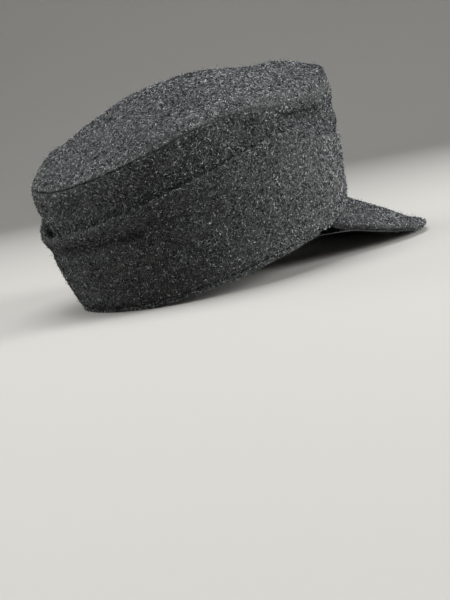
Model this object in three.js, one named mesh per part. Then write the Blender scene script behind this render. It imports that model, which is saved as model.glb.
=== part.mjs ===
// A field cap of grey wool: a domed oval top, a crown wall, a flap turned up all round and
// buttoned in front, a hem below the flap's fold, and a stiff peak covered on both faces.
// Millimetres, +Z up, the peak towards -Y and the wearer's right towards -X. The cap stands on
// the rear of its rim and on the front edge of its peak, with the origin under its middle.

import * as THREE from "three";
import { mergeVertices } from "three/addons/utils/BufferGeometryUtils.js";

// Angles run round the head in degrees: 0 is the front, 90 the wearer's left, -90 the right and
// 180 the rear. Heights are above the plane of the rim, before the cap is set down.

// The plan of every ring is an ellipse with slightly square corners and a narrower front.
const SQUARENESS = 2.15;
const FRONT_NARROWING = 0.03;

// Thickness of each wall.
const CROWN_CLOTH = 2.5;
const FLAP_CLOTH = 3.0;
const HEM_CLOTH = 2.0;
const PEAK_BOARD = 2.2;
const PEAK_LINING = 1.4;

// Room between pieces that touch on the real cap.
const SEAM_GAP = 0.3;
const PEAK_GROOVE = 0.5;

// The walls' mean radius, which turns an angle into a length along the cloth.
const WALL_RADIUS = 100;

// The crown wall from the rim (share 0) to the top seam (share 1).
const CROWN_SECTIONS = [
  { share: 0.0, halfLength: 104.6, halfWidth: 84.0, shift: 0.0 },
  { share: 0.1, halfLength: 104.8, halfWidth: 84.1, shift: 0.0 },
  { share: 0.25, halfLength: 105.9, halfWidth: 85.3, shift: -0.8 },
  { share: 0.5, halfLength: 110.7, halfWidth: 89.3, shift: -4.0 },
  { share: 0.65, halfLength: 112.2, halfWidth: 91.0, shift: -4.8 },
  { share: 0.8, halfLength: 114.1, halfWidth: 93.2, shift: -5.1 },
  { share: 1.0, halfLength: 117.2, halfWidth: 98.0, shift: -5.1 },
];

// How high the top seam runs, the same on both sides.
const SEAM_HEIGHTS = [
  { angle: 0, height: 96.0 },
  { angle: 15, height: 95.2 },
  { angle: 30, height: 92.7 },
  { angle: 45, height: 89.7 },
  { angle: 60, height: 88.5 },
  { angle: 71, height: 89.1 },
  { angle: 85, height: 92.4 },
  { angle: 97, height: 97.4 },
  { angle: 108, height: 100.3 },
  { angle: 117, height: 100.0 },
  { angle: 132, height: 96.0 },
  { angle: 147, height: 92.6 },
  { angle: 160, height: 90.4 },
  { angle: 180, height: 88.5 },
];

// The top panel along its middle line, from its front edge (place -1) to its rear edge (1).
const TOP_SPINE = [
  { place: -1.0, height: 96.0 },
  { place: -0.8, height: 116.3 },
  { place: -0.5, height: 117.0 },
  { place: 0.0, height: 127.9 },
  { place: 0.5, height: 118.2 },
  { place: 0.8, height: 98.5 },
  { place: 1.0, height: 88.5 },
];

// How late the top panel falls to its seam: a high power keeps it full up to the edge.
const TOP_FULLNESS = [
  { angle: 0, power: 5.5 },
  { angle: 35, power: 7.0 },
  { angle: 65, power: 3.6 },
  { angle: 100, power: 2.4 },
  { angle: 140, power: 2.9 },
  { angle: 180, power: 3.4 },
];

// The front corners of the top panel are pushed out, most at one angle and near the seam.
const TOP_CORNER = { angle: 42, angleSpread: 26, share: 0.93, shareSpread: 0.06, swell: 3.4 };

// The outside of the flap from its fold (share 0) to its upper edge (share 1).
const FLAP_SECTIONS = [
  { share: 0.0, halfLength: 108.6, halfWidth: 87.8, shift: 0.0 },
  { share: 0.33, halfLength: 112.5, halfWidth: 91.3, shift: -0.9 },
  { share: 0.66, halfLength: 115.9, halfWidth: 94.2, shift: -1.8 },
  { share: 1.0, halfLength: 118.6, halfWidth: 96.4, shift: -2.2 },
];

// The flap's upper edge and its lower fold, the same on both sides.
const FLAP_TOP = [
  { angle: 0, height: 50.0 },
  { angle: 20, height: 50.0 },
  { angle: 42, height: 53.9 },
  { angle: 63, height: 58.9 },
  { angle: 72, height: 62.4 },
  { angle: 78, height: 68.7 },
  { angle: 84, height: 74.6 },
  { angle: 94, height: 75.2 },
  { angle: 104, height: 74.6 },
  { angle: 112, height: 72.4 },
  { angle: 128, height: 68.4 },
  { angle: 146, height: 64.0 },
  { angle: 160, height: 61.3 },
  { angle: 180, height: 58.0 },
];
const FLAP_FOLD = [
  { angle: 0, height: 5.6 },
  { angle: 35, height: 4.4 },
  { angle: 60, height: 1.9 },
  { angle: 70, height: 0.5 },
  { angle: 75, height: 0.2 },
  { angle: 79, height: 3.4 },
  { angle: 90, height: 3.5 },
  { angle: 180, height: 3.5 },
];

// The flap's ends cross in front: the left end lies over the right one.
const FLAP_OVERLAP_DEG = 9;
const FLAP_LIFT = 3.5;
const FLAP_LIFT_FROM_DEG = 38;
const FLAP_LIFT_FULL_DEG = 13;
const FLAP_CORNER = 9;
const FLAP_EDGE_FLARE = 1.4;
const FLAP_EDGE_FLARE_SHARPNESS = 7;

// Slumps and swells of the cloth: each runs from one place on the wall to another, with a width
// to either side of its line and a depth, which is negative where the cloth sinks in.
const CROWN_FOLDS = [
  { name: "right slump, rear", fromDeg: -106, fromUp: 92, toDeg: -80, toUp: 83, width: 7, depth: -2.4 },
  { name: "right slump, front", fromDeg: -80, fromUp: 83, toDeg: -46, toUp: 68, width: 8, depth: -3.0 },
  { name: "right shoulder", fromDeg: -82, fromUp: 92, toDeg: -52, toUp: 87, width: 5, depth: 1.4 },
  { name: "left slump", fromDeg: 98, fromUp: 90, toDeg: 58, toUp: 74, width: 8, depth: -2.6 },
  { name: "left shoulder", fromDeg: 84, fromUp: 93, toDeg: 56, toUp: 88, width: 5, depth: 1.2 },
  { name: "front sag", fromDeg: -20, fromUp: 72, toDeg: 22, toUp: 70, width: 12, depth: -1.6 },
  { name: "rear sag", fromDeg: 160, fromUp: 74, toDeg: 203, toUp: 73, width: 6, depth: -1.2 },
];
const FLAP_FOLDS = [
  { name: "right hollow", fromDeg: -181, fromUp: 48, toDeg: -142, toUp: 52, width: 6, depth: -1.7 },
  { name: "left hollow", fromDeg: 172, fromUp: 47, toDeg: 136, toUp: 54, width: 6, depth: -1.3 },
  { name: "right swell", fromDeg: -92, fromUp: 32, toDeg: -52, toUp: 18, width: 13, depth: 1.5 },
  { name: "left swell", fromDeg: 86, fromUp: 30, toDeg: 58, toUp: 20, width: 12, depth: 1.2 },
];

// The hem stands a little inside the flap's fold and stops short of the peak on each side.
const HEM = { halfLength: 107.9, halfWidth: 87.2, height: 3.1, endAngle: 80 };

// The peak springs from the rim between its two corners and droops to its front edge.
const PEAK = {
  cornerAngle: 69,
  halfLength: 108.3,
  halfWidth: 87.5,
  reach: 68,
  rise: 4.6,
  frontDrop: 50.5,
  sideDrop: 68,
  sideSwell: 15,
  squareness: 2.5,
  droopPower: 0.8,
  arch: 1.2,
};
const PEAK_TONGUE = { halfLength: 107.2, halfWidth: 86.5, share: 0.05, lift: 0.2 };
const PEAK_END = 0.985;
const PEAK_UNDER_INSET = 0.012;
const PEAK_UNDER_START = 0.1;

// The plain button that holds the flap's ends in front.
const BUTTON = { radius: 7.5, rim: 1.6, dome: 3.4, height: 27 };

// How the cap stands: nose up on the edge of its peak. The cloth presses flat on the surface.
const REST_PITCH_DEG = 10.1;
const REST_SINK = 1.0;

// At the top seam both walls end on the same slanting face, which leads in and down. Each wall
// turns to that face over a last share of its height.
const SEAM_FACE = { inward: 2.3, down: 1.7, turnShare: 0.06 };
const CROWN_TURN_END = 0.96;

// How round the edges of a wall are: 1 is a half circle.
const FLAP_ROUNDNESS = 1;
const HEM_ROUNDNESS = 0.5;
const PEAK_ROUNDNESS = 0.6;

// Steps of the facets.
const BUTTON_SIDES = 20;
const CROWN_STEP_DEG = 5;
const FLAP_STEP_DEG = 4;
const FLAP_CORNER_STEPS_DEG = [0, 0.5, 1.3, 2.5];
const HEM_STEP_DEG = 5;
const PEAK_STEPS = 30;
const CROWN_ROWS = [0, 0.18, 0.36, 0.52, 0.66, 0.76, 0.85, 0.93, 1];
const TOP_ROWS = [0, 0.2, 0.4, 0.58, 0.72, 0.83, 0.91, 0.965, 1];
const FLAP_ROWS = [0, 0.18, 0.4, 0.62, 0.8, 0.91, 1];
const PEAK_ROWS = [0, PEAK_TONGUE.share, 0.28, 0.52, 0.76, 0.92, 1];

const RADIANS = Math.PI / 180;

// A smooth reading of a table's column at x, never past its rows. A table by angle is level at
// both ends, because the front and the rear are where its two sides meet.
function read(table, at, column, x) {
  const last = table.length - 1;
  const place = Math.min(Math.max(x, table[0][at]), table[last][at]);
  let i = 0;
  while (i < last - 1 && place > table[i + 1][at]) i += 1;
  const slope = (k) =>
    (table[k + 1][column] - table[k][column]) / (table[k + 1][at] - table[k][at]);
  const tangent = (k) => {
    if (k === 0 || k === last) return at === "angle" ? 0 : slope(Math.min(k, last - 1));
    const before = slope(k - 1);
    const after = slope(k);
    return before * after > 0 ? (2 * before * after) / (before + after) : 0;
  };
  const span = table[i + 1][at] - table[i][at];
  const t = (place - table[i][at]) / span;
  return (
    table[i][column] * (1 + 2 * t) * (1 - t) ** 2 +
    table[i + 1][column] * t * t * (3 - 2 * t) +
    span * (tangent(i) * t * (1 - t) ** 2 - tangent(i + 1) * t * t * (1 - t))
  );
}

// The angle from the front, 0 to 180, whichever side it is on.
function fromFront(angle) {
  return Math.abs(((angle % 360) + 540) % 360 - 180);
}

// A point of a ring at an angle round the head.
function ringPoint(angle, halfLength, halfWidth, shift, height) {
  const c = Math.cos(angle * RADIANS);
  const s = Math.sin(angle * RADIANS);
  const along = Math.sign(c) * Math.abs(c) ** (2 / SQUARENESS);
  const across = Math.sign(s) * Math.abs(s) ** (2 / SQUARENESS);
  const x = halfWidth * across * (1 - FRONT_NARROWING * c);
  return new THREE.Vector3(x, shift - halfLength * along, height);
}

// The level unit vector that points out of the head at an angle.
function outward(angle, halfLength, halfWidth) {
  const ahead = ringPoint(angle + 0.5, halfLength, halfWidth, 0, 0);
  const behind = ringPoint(angle - 0.5, halfLength, halfWidth, 0, 0);
  const way = ahead.sub(behind);
  return new THREE.Vector3(way.y, -way.x, 0).normalize();
}

// How far the folds of a table move a place on a wall outwards.
function foldDepth(folds, angle, height) {
  let depth = 0;
  for (const fold of folds) {
    const turn = ((((angle - fold.fromDeg) % 360) + 540) % 360) - 180;
    const x = turn * RADIANS * WALL_RADIUS;
    const y = height - fold.fromUp;
    const dx = (fold.toDeg - fold.fromDeg) * RADIANS * WALL_RADIUS;
    const dy = fold.toUp - fold.fromUp;
    const t = Math.min(Math.max((x * dx + y * dy) / (dx * dx + dy * dy), 0), 1);
    const away = Math.hypot(x - t * dx, y - t * dy) / fold.width;
    depth += fold.depth * Math.exp(-away * away);
  }
  return depth;
}

// The outside of the crown wall: an angle, and a share of the way from the rim to the seam.
function crownSurface(angle, share) {
  const seam = read(SEAM_HEIGHTS, "angle", "height", fromFront(angle));
  const height = seam * share;
  const halfLength = read(CROWN_SECTIONS, "share", "halfLength", share);
  const halfWidth = read(CROWN_SECTIONS, "share", "halfWidth", share);
  const shift = read(CROWN_SECTIONS, "share", "shift", share);
  const point = ringPoint(angle, halfLength, halfWidth, shift, height);
  const depth = foldDepth(CROWN_FOLDS, angle, height);
  return point.addScaledVector(outward(angle, halfLength, halfWidth), depth);
}

// The outside of the top panel: an angle, and a share of the way from its middle to the seam.
function topSurface(angle, share) {
  const seamRow = CROWN_SECTIONS[CROWN_SECTIONS.length - 1];
  const edge = crownSurface(angle, 1);
  const place = (share * (edge.y - seamRow.shift)) / seamRow.halfLength;
  const spine = read(TOP_SPINE, "place", "height", place);
  const power = read(TOP_FULLNESS, "angle", "power", fromFront(angle));
  const fall = share ** power;
  const aside = (fromFront(angle) - TOP_CORNER.angle) / TOP_CORNER.angleSpread;
  const above = (share - TOP_CORNER.share) / TOP_CORNER.shareSpread;
  const held = Math.min((1 - share) / (1 - TOP_CORNER.share), 1);
  const swell = TOP_CORNER.swell * held * Math.exp(-aside * aside - above * above);
  const radius = share + swell / WALL_RADIUS;
  return new THREE.Vector3(
    radius * edge.x,
    seamRow.shift + radius * (edge.y - seamRow.shift),
    spine * (1 - fall) + edge.z * fall,
  );
}

// The outside of the flap: an angle that runs on past a full turn where its ends cross, and a
// share of the way from its fold to its upper edge.
const FLAP_START = FLAP_OVERLAP_DEG;
const FLAP_END = -360 - FLAP_OVERLAP_DEG;
function flapSurface(angle, share) {
  const fromEnd = Math.min(FLAP_START - angle, angle - FLAP_END) * RADIANS * WALL_RADIUS;
  const cut = THREE.MathUtils.clamp(1 - fromEnd / FLAP_CORNER, 0, 1);
  const corner = FLAP_CORNER * (1 - Math.sqrt(1 - cut * cut));
  const roll = FLAP_CLOTH / 2;
  const low = read(FLAP_FOLD, "angle", "height", fromFront(angle)) + roll;
  const high = read(FLAP_TOP, "angle", "height", fromFront(angle)) - roll - corner;
  const height = low + (high - low) * share;
  const halfLength = read(FLAP_SECTIONS, "share", "halfLength", share);
  const halfWidth = read(FLAP_SECTIONS, "share", "halfWidth", share);
  const shift = read(FLAP_SECTIONS, "share", "shift", share);
  const pastFront = -360 - angle;
  const lift = THREE.MathUtils.smoothstep(pastFront, -FLAP_LIFT_FROM_DEG, -FLAP_LIFT_FULL_DEG);
  const stand =
    foldDepth(FLAP_FOLDS, angle, height) +
    FLAP_LIFT * lift +
    FLAP_EDGE_FLARE * share ** FLAP_EDGE_FLARE_SHARPNESS;
  const point = ringPoint(angle, halfLength, halfWidth, shift, height);
  return point.addScaledVector(outward(angle, halfLength, halfWidth), stand);
}

// The outside of the hem below the flap's fold.
function hemSurface(angle, share) {
  const roll = (HEM_CLOTH / 2) * HEM_ROUNDNESS;
  const height = roll + (HEM.height - 2 * roll) * share;
  return ringPoint(angle, HEM.halfLength, HEM.halfWidth, 0, height);
}

// The upper face of the peak: side runs from -1 at one corner to 1 at the other, and share from
// the tongue under the flap to the free edge.
function peakSurface(side, share) {
  const angle = side * PEAK.cornerAngle;
  const rootHeight = PEAK.rise * (1 - side * side);
  const root = ringPoint(angle, PEAK.halfLength, PEAK.halfWidth, 0, rootHeight);
  const tongue = ringPoint(
    angle, PEAK_TONGUE.halfLength, PEAK_TONGUE.halfWidth, 0, rootHeight + PEAK_TONGUE.lift,
  );
  const corner = ringPoint(PEAK.cornerAngle, PEAK.halfLength, PEAK.halfWidth, 0, 0);
  const turn = (side * Math.PI) / 2;
  const ahead = Math.abs(Math.cos(turn));
  const aside = Math.abs(Math.sin(turn));
  const length = PEAK.halfLength + PEAK.reach + corner.y;
  const fall = ahead ** PEAK.droopPower;
  const edge = new THREE.Vector3(
    (corner.x + PEAK.sideSwell * Math.abs(Math.sin(2 * turn))) *
      Math.sign(side) * aside ** (2 / PEAK.squareness),
    corner.y - length * ahead ** (2 / PEAK.squareness),
    fall * ((PEAK.rise - PEAK.frontDrop) * ahead - PEAK.sideDrop * (1 - ahead)),
  );
  if (share < PEAK_TONGUE.share) return tongue.lerp(root, share / PEAK_TONGUE.share);
  const t = (share - PEAK_TONGUE.share) / (1 - PEAK_TONGUE.share);
  const point = root.lerp(edge, t);
  point.z += PEAK.arch * 4 * t * (1 - t) * ahead;
  return point;
}

// The unit normal of a surface, from steps of its two parameters that stay inside their limits.
function normalOf(surface, u, v, limits) {
  const du = limits.u;
  const dv = limits.v;
  const v0 = Math.max(v - dv, limits.vLow);
  const v1 = Math.min(v + dv, limits.vHigh);
  const alongU = surface(u + du, (v0 + v1) / 2).sub(surface(u - du, (v0 + v1) / 2));
  const alongV = surface(u, v1).sub(surface(u, v0));
  return alongU.cross(alongV).normalize();
}

// Sets a point of the cap down on the surface that it stands on.
function setDown(point) {
  const pitch = REST_PITCH_DEG * RADIANS;
  const lift = HEM.halfLength * Math.sin(pitch) - REST_SINK;
  const y = point.y * Math.cos(pitch) + point.z * Math.sin(pitch);
  const z = point.z * Math.cos(pitch) - point.y * Math.sin(pitch) + lift;
  return new THREE.Vector3(point.x, y, Math.max(z, 0));
}

// A closed geometry from rows of points: each column is one section of the wall, as a closed
// loop. The columns join up all round, or else the first and the last one are capped.
function loft(columns, joined) {
  const count = columns[0].length;
  const corners = [];
  const triangle = (a, b, c) => {
    const apart = 1e-4;
    if (a.distanceTo(b) < apart || b.distanceTo(c) < apart || c.distanceTo(a) < apart) return;
    corners.push(a, b, c);
  };
  const spans = joined ? columns.length : columns.length - 1;
  for (let i = 0; i < spans; i += 1) {
    const here = columns[i];
    const next = columns[(i + 1) % columns.length];
    for (let j = 0; j < count; j += 1) {
      const k = (j + 1) % count;
      triangle(here[j], next[j], next[k]);
      triangle(here[j], next[k], here[k]);
    }
  }
  if (!joined) {
    const first = columns[0];
    const last = columns[columns.length - 1];
    for (let j = 0; j < count / 2 - 1; j += 1) {
      const k = count - 1 - j;
      triangle(first[j], first[j + 1], first[k]);
      triangle(first[j + 1], first[k - 1], first[k]);
      triangle(last[j + 1], last[j], last[k]);
      triangle(last[k - 1], last[j + 1], last[k]);
    }
  }
  const geometry = new THREE.BufferGeometry().setFromPoints(corners.map(setDown));
  return mergeVertices(geometry, 1e-4);
}

// One section of a wall: up its outside, over its upper edge, down its inside and round its
// lower edge. inset(u, v) leads from a point of the outside to the inside.
function section(surface, inset, u, rows, rounded) {
  const outside = rows.map((v) => surface(u, v));
  const inside = rows.map((v, i) => outside[i].clone().add(inset(u, v)));
  const last = rows.length - 1;
  const tip = (end, before) => {
    const middle = outside[end].clone().add(inside[end]).multiplyScalar(0.5);
    const way = outside[end].clone().sub(outside[before]).normalize();
    const half = outside[end].distanceTo(inside[end]) / 2;
    return middle.addScaledVector(way, half * rounded);
  };
  const back = [...inside].reverse();
  if (!rounded) return [...outside, ...back];
  return [...outside, tip(last, last - 1), ...back, tip(0, 1)];
}

// Evenly spaced values from one number to another, with both ends.
function steps(from, to, step) {
  const count = Math.round(Math.abs(to - from) / step);
  return Array.from({ length: count + 1 }, (_, i) => from + ((to - from) * i) / count);
}

// An inset of even thickness along the surface's normal.
function evenInset(surface, thickness, limits) {
  return (u, v) => normalOf(surface, u, v, limits).multiplyScalar(-thickness);
}

// The inset of both walls where they end at the top seam.
function seamInset(angle) {
  const seamRow = CROWN_SECTIONS.at(-1);
  const out = outward(angle, seamRow.halfLength, seamRow.halfWidth);
  return out.multiplyScalar(-SEAM_FACE.inward).setZ(-SEAM_FACE.down);
}

function crownSide() {
  const limits = { u: 1, v: 0.02, vLow: 0, vHigh: 1 };
  const even = evenInset(crownSurface, CROWN_CLOTH, limits);
  const turnStart = CROWN_TURN_END - SEAM_FACE.turnShare;
  const inset = (u, v) => {
    const turn = THREE.MathUtils.smoothstep(v, turnStart, CROWN_TURN_END);
    return even(u, v).lerp(seamInset(u), turn);
  };
  const surface = (u, v) => {
    const point = crownSurface(u, v);
    return point.setZ(point.z - (SEAM_GAP / 2) * v);
  };
  const angles = steps(0, 360, CROWN_STEP_DEG).slice(0, -1);
  return loft(angles.map((u) => section(surface, inset, u, CROWN_ROWS, 0)), true);
}

function crownTop() {
  const limits = { u: 1, v: 0.02, vLow: 0.04, vHigh: 1 };
  const even = evenInset((u, v) => topSurface(-u, v), CROWN_CLOTH, limits);
  const inset = (u, v) => {
    if (v === 0) return new THREE.Vector3(0, 0, -CROWN_CLOTH);
    const turn = THREE.MathUtils.smoothstep(v, 1 - SEAM_FACE.turnShare, 1);
    return even(-u, v).lerp(seamInset(u), turn);
  };
  const surface = (u, v) => {
    const point = topSurface(u, v);
    return point.setZ(point.z + SEAM_GAP * v);
  };
  const angles = steps(0, -360, CROWN_STEP_DEG).slice(0, -1);
  return loft(angles.map((u) => section(surface, inset, u, TOP_ROWS, 0)), true);
}

function turnUp() {
  const limits = { u: 1, v: 0.02, vLow: 0, vHigh: 1 };
  const inset = evenInset(flapSurface, FLAP_CLOTH, limits);
  const inner = steps(FLAP_END + FLAP_STEP_DEG, FLAP_START - FLAP_STEP_DEG, FLAP_STEP_DEG);
  const before = FLAP_CORNER_STEPS_DEG.map((step) => FLAP_END + step);
  const after = FLAP_CORNER_STEPS_DEG.map((step) => FLAP_START - step).reverse();
  const angles = [...before, ...inner, ...after];
  const columns = angles.map((u) => section(flapSurface, inset, u, FLAP_ROWS, FLAP_ROUNDNESS));
  return loft(columns, false);
}

function rimHem() {
  const limits = { u: 1, v: 0.1, vLow: 0, vHigh: 1 };
  const inset = evenInset(hemSurface, HEM_CLOTH, limits);
  const angles = steps(HEM.endAngle, 360 - HEM.endAngle, HEM_STEP_DEG);
  const columns = angles.map((u) => section(hemSurface, inset, u, [0, 1], HEM_ROUNDNESS));
  return loft(columns, false);
}

// A layer of the peak between two depths below its upper face, drawn in from its edge.
function peakLayer(fromDepth, thickness, edgeInset, rows) {
  const limits = { u: 0.01, v: 0.02, vLow: PEAK_TONGUE.share + 0.01, vHigh: 1 };
  const face = (side, share) => peakSurface(side, share * (1 - edgeInset));
  const down = (side, share) => {
    const s = THREE.MathUtils.clamp(side, -PEAK_END + limits.u, PEAK_END - limits.u);
    const v = Math.max(share, PEAK_TONGUE.share + 2 * limits.v);
    return normalOf(face, s, v, limits);
  };
  const surface = (side, share) =>
    face(side, share).addScaledVector(down(side, share), fromDepth);
  const inset = (side, share) => down(side, share).multiplyScalar(thickness);
  const end = PEAK_END - edgeInset;
  const sides = steps(end, -end, (2 * end) / PEAK_STEPS);
  return loft(sides.map((u) => section(surface, inset, u, rows, PEAK_ROUNDNESS)), false);
}

function frontButton() {
  const profile = [
    new THREE.Vector2(0, 0),
    new THREE.Vector2(BUTTON.radius * 0.86, 0),
    new THREE.Vector2(BUTTON.radius, BUTTON.rim / 2),
    new THREE.Vector2(BUTTON.radius * 0.96, BUTTON.rim),
    new THREE.Vector2(BUTTON.radius * 0.62, BUTTON.dome * 0.86),
    new THREE.Vector2(0, BUTTON.dome),
  ];
  const lathe = new THREE.LatheGeometry(profile, BUTTON_SIDES);
  lathe.deleteAttribute("normal");
  lathe.deleteAttribute("uv");
  return mergeVertices(lathe, 1e-4);
}

// Places the button on the outer end of the flap, facing out of the cloth.
function placeButton(mesh) {
  const frontOfOuterEnd = -360;
  const low = FLAP_FOLD[0].height;
  const share = (BUTTON.height - low) / (FLAP_TOP[0].height - low);
  const limits = { u: 1, v: 0.02, vLow: 0, vHigh: 1 };
  const normal = normalOf(flapSurface, frontOfOuterEnd, share, limits);
  const seat = flapSurface(frontOfOuterEnd, share);
  const foot = setDown(seat);
  const out = setDown(seat.clone().add(normal)).sub(foot).normalize();
  mesh.position.copy(foot).addScaledVector(out, SEAM_GAP);
  mesh.quaternion.setFromUnitVectors(new THREE.Vector3(0, 1, 0), out);
}

// A named mesh in its own cloth or button material.
function piece(name, geometry, colour, roughness) {
  const material = new THREE.MeshStandardMaterial({ color: colour, roughness, metalness: 0 });
  const mesh = new THREE.Mesh(geometry, material);
  mesh.name = name;
  return mesh;
}

const WOOL = "#5b5d5e";
const WOOL_SHADED = "#4a4c4d";
const HORN = "#2c2a28";

const group = new THREE.Group();
group.add(piece("crown_top", crownTop(), WOOL, 0.95));
group.add(piece("crown_side", crownSide(), WOOL, 0.95));
group.add(piece("turn_up", turnUp(), WOOL, 0.95));
group.add(piece("rim_hem", rimHem(), WOOL_SHADED, 0.95));
group.add(piece("peak_top", peakLayer(0, PEAK_BOARD, 0, PEAK_ROWS), WOOL, 0.95));
const underDepth = PEAK_BOARD + PEAK_GROOVE;
const underRows = [PEAK_UNDER_START, ...PEAK_ROWS.slice(2)];
const peakUnder = peakLayer(underDepth, PEAK_LINING, PEAK_UNDER_INSET, underRows);
group.add(piece("peak_under", peakUnder, WOOL_SHADED, 0.95));
const button = piece("front_button", frontButton(), HORN, 0.5);
placeButton(button);
group.add(button);

// The origin is under the middle of the whole cap.
const middle = new THREE.Box3().setFromObject(group).getCenter(new THREE.Vector3());
group.position.set(-middle.x, -middle.y, 0);
group.updateMatrixWorld(true);

export default group;
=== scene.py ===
"""A grey wool field cap: every panel of its cloth at full detail, its nap of fibres, and a studio.

The panels are lofted from the same few sizes as the solids that they stand for. Lengths are in
millimetres in the cap's own frame, where height 0 is the plane of the rim, until set_down() stands
a point on the floor, in metres. Angles run round the head in degrees: 0 is the front, 90 the
wearer's left, -90 the right and 180 the rear. A share runs from 0 at a panel's first row to 1 at
its last one.
"""

import logging
import math
from dataclasses import dataclass
from enum import Enum
from typing import NamedTuple, Sequence

import bpy
import numpy as np
from mathutils import Matrix, Vector, noise


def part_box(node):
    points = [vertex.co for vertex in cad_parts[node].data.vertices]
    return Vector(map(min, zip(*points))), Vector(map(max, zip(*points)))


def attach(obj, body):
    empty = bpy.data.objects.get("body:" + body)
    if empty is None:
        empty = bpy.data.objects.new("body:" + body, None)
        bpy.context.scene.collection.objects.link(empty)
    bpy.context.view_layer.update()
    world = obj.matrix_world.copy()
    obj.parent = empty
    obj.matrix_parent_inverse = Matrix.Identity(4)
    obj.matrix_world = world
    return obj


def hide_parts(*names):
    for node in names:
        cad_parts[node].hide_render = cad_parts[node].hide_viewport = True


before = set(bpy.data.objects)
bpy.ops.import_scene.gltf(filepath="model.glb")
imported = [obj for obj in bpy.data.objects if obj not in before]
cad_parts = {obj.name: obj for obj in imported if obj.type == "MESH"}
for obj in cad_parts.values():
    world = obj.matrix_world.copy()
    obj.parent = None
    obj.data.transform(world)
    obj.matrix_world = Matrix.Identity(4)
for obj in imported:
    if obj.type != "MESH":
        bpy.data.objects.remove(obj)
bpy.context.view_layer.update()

Array = np.ndarray
Sockets = dict[str | int, object]

LOG = logging.getLogger("field_cap")
BODY = "root"

MM = 0.001
SEED = 11

# How the cap stands: nose up on the edge of its peak, with its cloth pressed flat on the floor.
REST_PITCH = math.radians(10.1)
REST_SINK = 1.0

# The plan of every ring is an ellipse with slightly square corners and a narrower front.
SQUARENESS = 2.15
FRONT_NARROWING = 0.03

# Where the painted light ramp begins and ends, darker at the rear and paler at the front, from the
# frame's origin, with the front towards -Y.
PAINTED_LIGHT_REAR = 130.0
PAINTED_LIGHT_FRONT = -72.0

# The walls' mean radius, which turns an angle into a length along the cloth.
WALL_RADIUS = 100.0

# Points closer than this are one point, and an edge shorter than this is none, in metres.
MERGE = 2e-6
SHORTEST = 1e-6

# The least length that anything is divided by.
TINY = 1e-9


class WallRow(NamedTuple):
    """One ring of a wall, at a share of the way up it."""

    share: float
    half_length: float
    half_width: float
    shift: float


class Level(NamedTuple):
    """A height, or another value, at an angle from the front or a place along a line."""

    at: float
    value: float


class Fold(NamedTuple):
    """A slump or a swell of a wall along a line, negative where the cloth sinks in."""

    from_angle: float
    from_height: float
    to_angle: float
    to_height: float
    width: float
    depth: float


class TopFold(NamedTuple):
    """A slump or a swell of the top panel along a line, seen from above."""

    from_x: float
    from_y: float
    to_x: float
    to_y: float
    width: float
    depth: float


CROWN_WALL = (
    WallRow(0.0, 104.6, 84.0, 0.0),
    WallRow(0.1, 104.8, 84.1, 0.0),
    WallRow(0.25, 105.9, 85.3, -0.8),
    WallRow(0.5, 110.7, 89.3, -4.0),
    WallRow(0.65, 112.2, 91.0, -4.8),
    WallRow(0.8, 114.1, 93.2, -5.1),
    WallRow(1.0, 117.2, 98.0, -5.1),
)
FLAP_WALL = (
    WallRow(0.0, 108.6, 87.8, 0.0),
    WallRow(0.33, 112.5, 91.3, -0.9),
    WallRow(0.66, 115.9, 94.2, -1.8),
    WallRow(1.0, 118.6, 96.4, -2.2),
)
SEAM_HEIGHTS = (
    Level(0, 96.0), Level(15, 95.2), Level(30, 92.7), Level(45, 89.7), Level(60, 88.5),
    Level(71, 89.1), Level(85, 92.4), Level(97, 97.4), Level(108, 100.3), Level(117, 100.0),
    Level(132, 96.0), Level(147, 92.6), Level(160, 90.4), Level(180, 88.5),
)
TOP_SPINE = (
    Level(-1.0, 96.0), Level(-0.8, 116.3), Level(-0.5, 117.0), Level(0.0, 127.9),
    Level(0.5, 118.2), Level(0.8, 98.5), Level(1.0, 88.5),
)
TOP_FULLNESS = (
    Level(0, 5.5), Level(35, 7.0), Level(65, 3.6), Level(100, 2.4), Level(140, 2.9),
    Level(180, 3.4),
)
FLAP_TOP = (
    Level(0, 50.0), Level(20, 50.0), Level(42, 53.9), Level(63, 58.9), Level(72, 62.4),
    Level(78, 68.7), Level(84, 74.6), Level(94, 75.2), Level(104, 74.6), Level(112, 72.4),
    Level(128, 68.4), Level(146, 64.0), Level(160, 61.3), Level(180, 58.0),
)
FLAP_FOLD = (
    Level(0, 5.6), Level(35, 4.4), Level(60, 1.9), Level(70, 0.5), Level(75, 0.2), Level(79, 3.4),
    Level(90, 3.5), Level(180, 3.5),
)
CROWN_FOLDS = (
    Fold(-106, 92, -80, 83, 7, -2.4),
    Fold(-80, 83, -46, 68, 8, -3.0),
    Fold(-82, 92, -52, 87, 5, 1.4),
    Fold(98, 90, 58, 74, 8, -2.6),
    Fold(84, 93, 56, 88, 5, 1.2),
    Fold(-20, 72, 22, 70, 12, -1.6),
    Fold(160, 74, 203, 73, 6, -1.2),
)
FLAP_FOLDS = (
    Fold(-181, 48, -142, 52, 6, -1.7),
    Fold(172, 47, 136, 54, 6, -1.3),
    Fold(-92, 32, -52, 18, 13, 1.5),
    Fold(86, 30, 58, 20, 12, 1.2),
)

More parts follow.
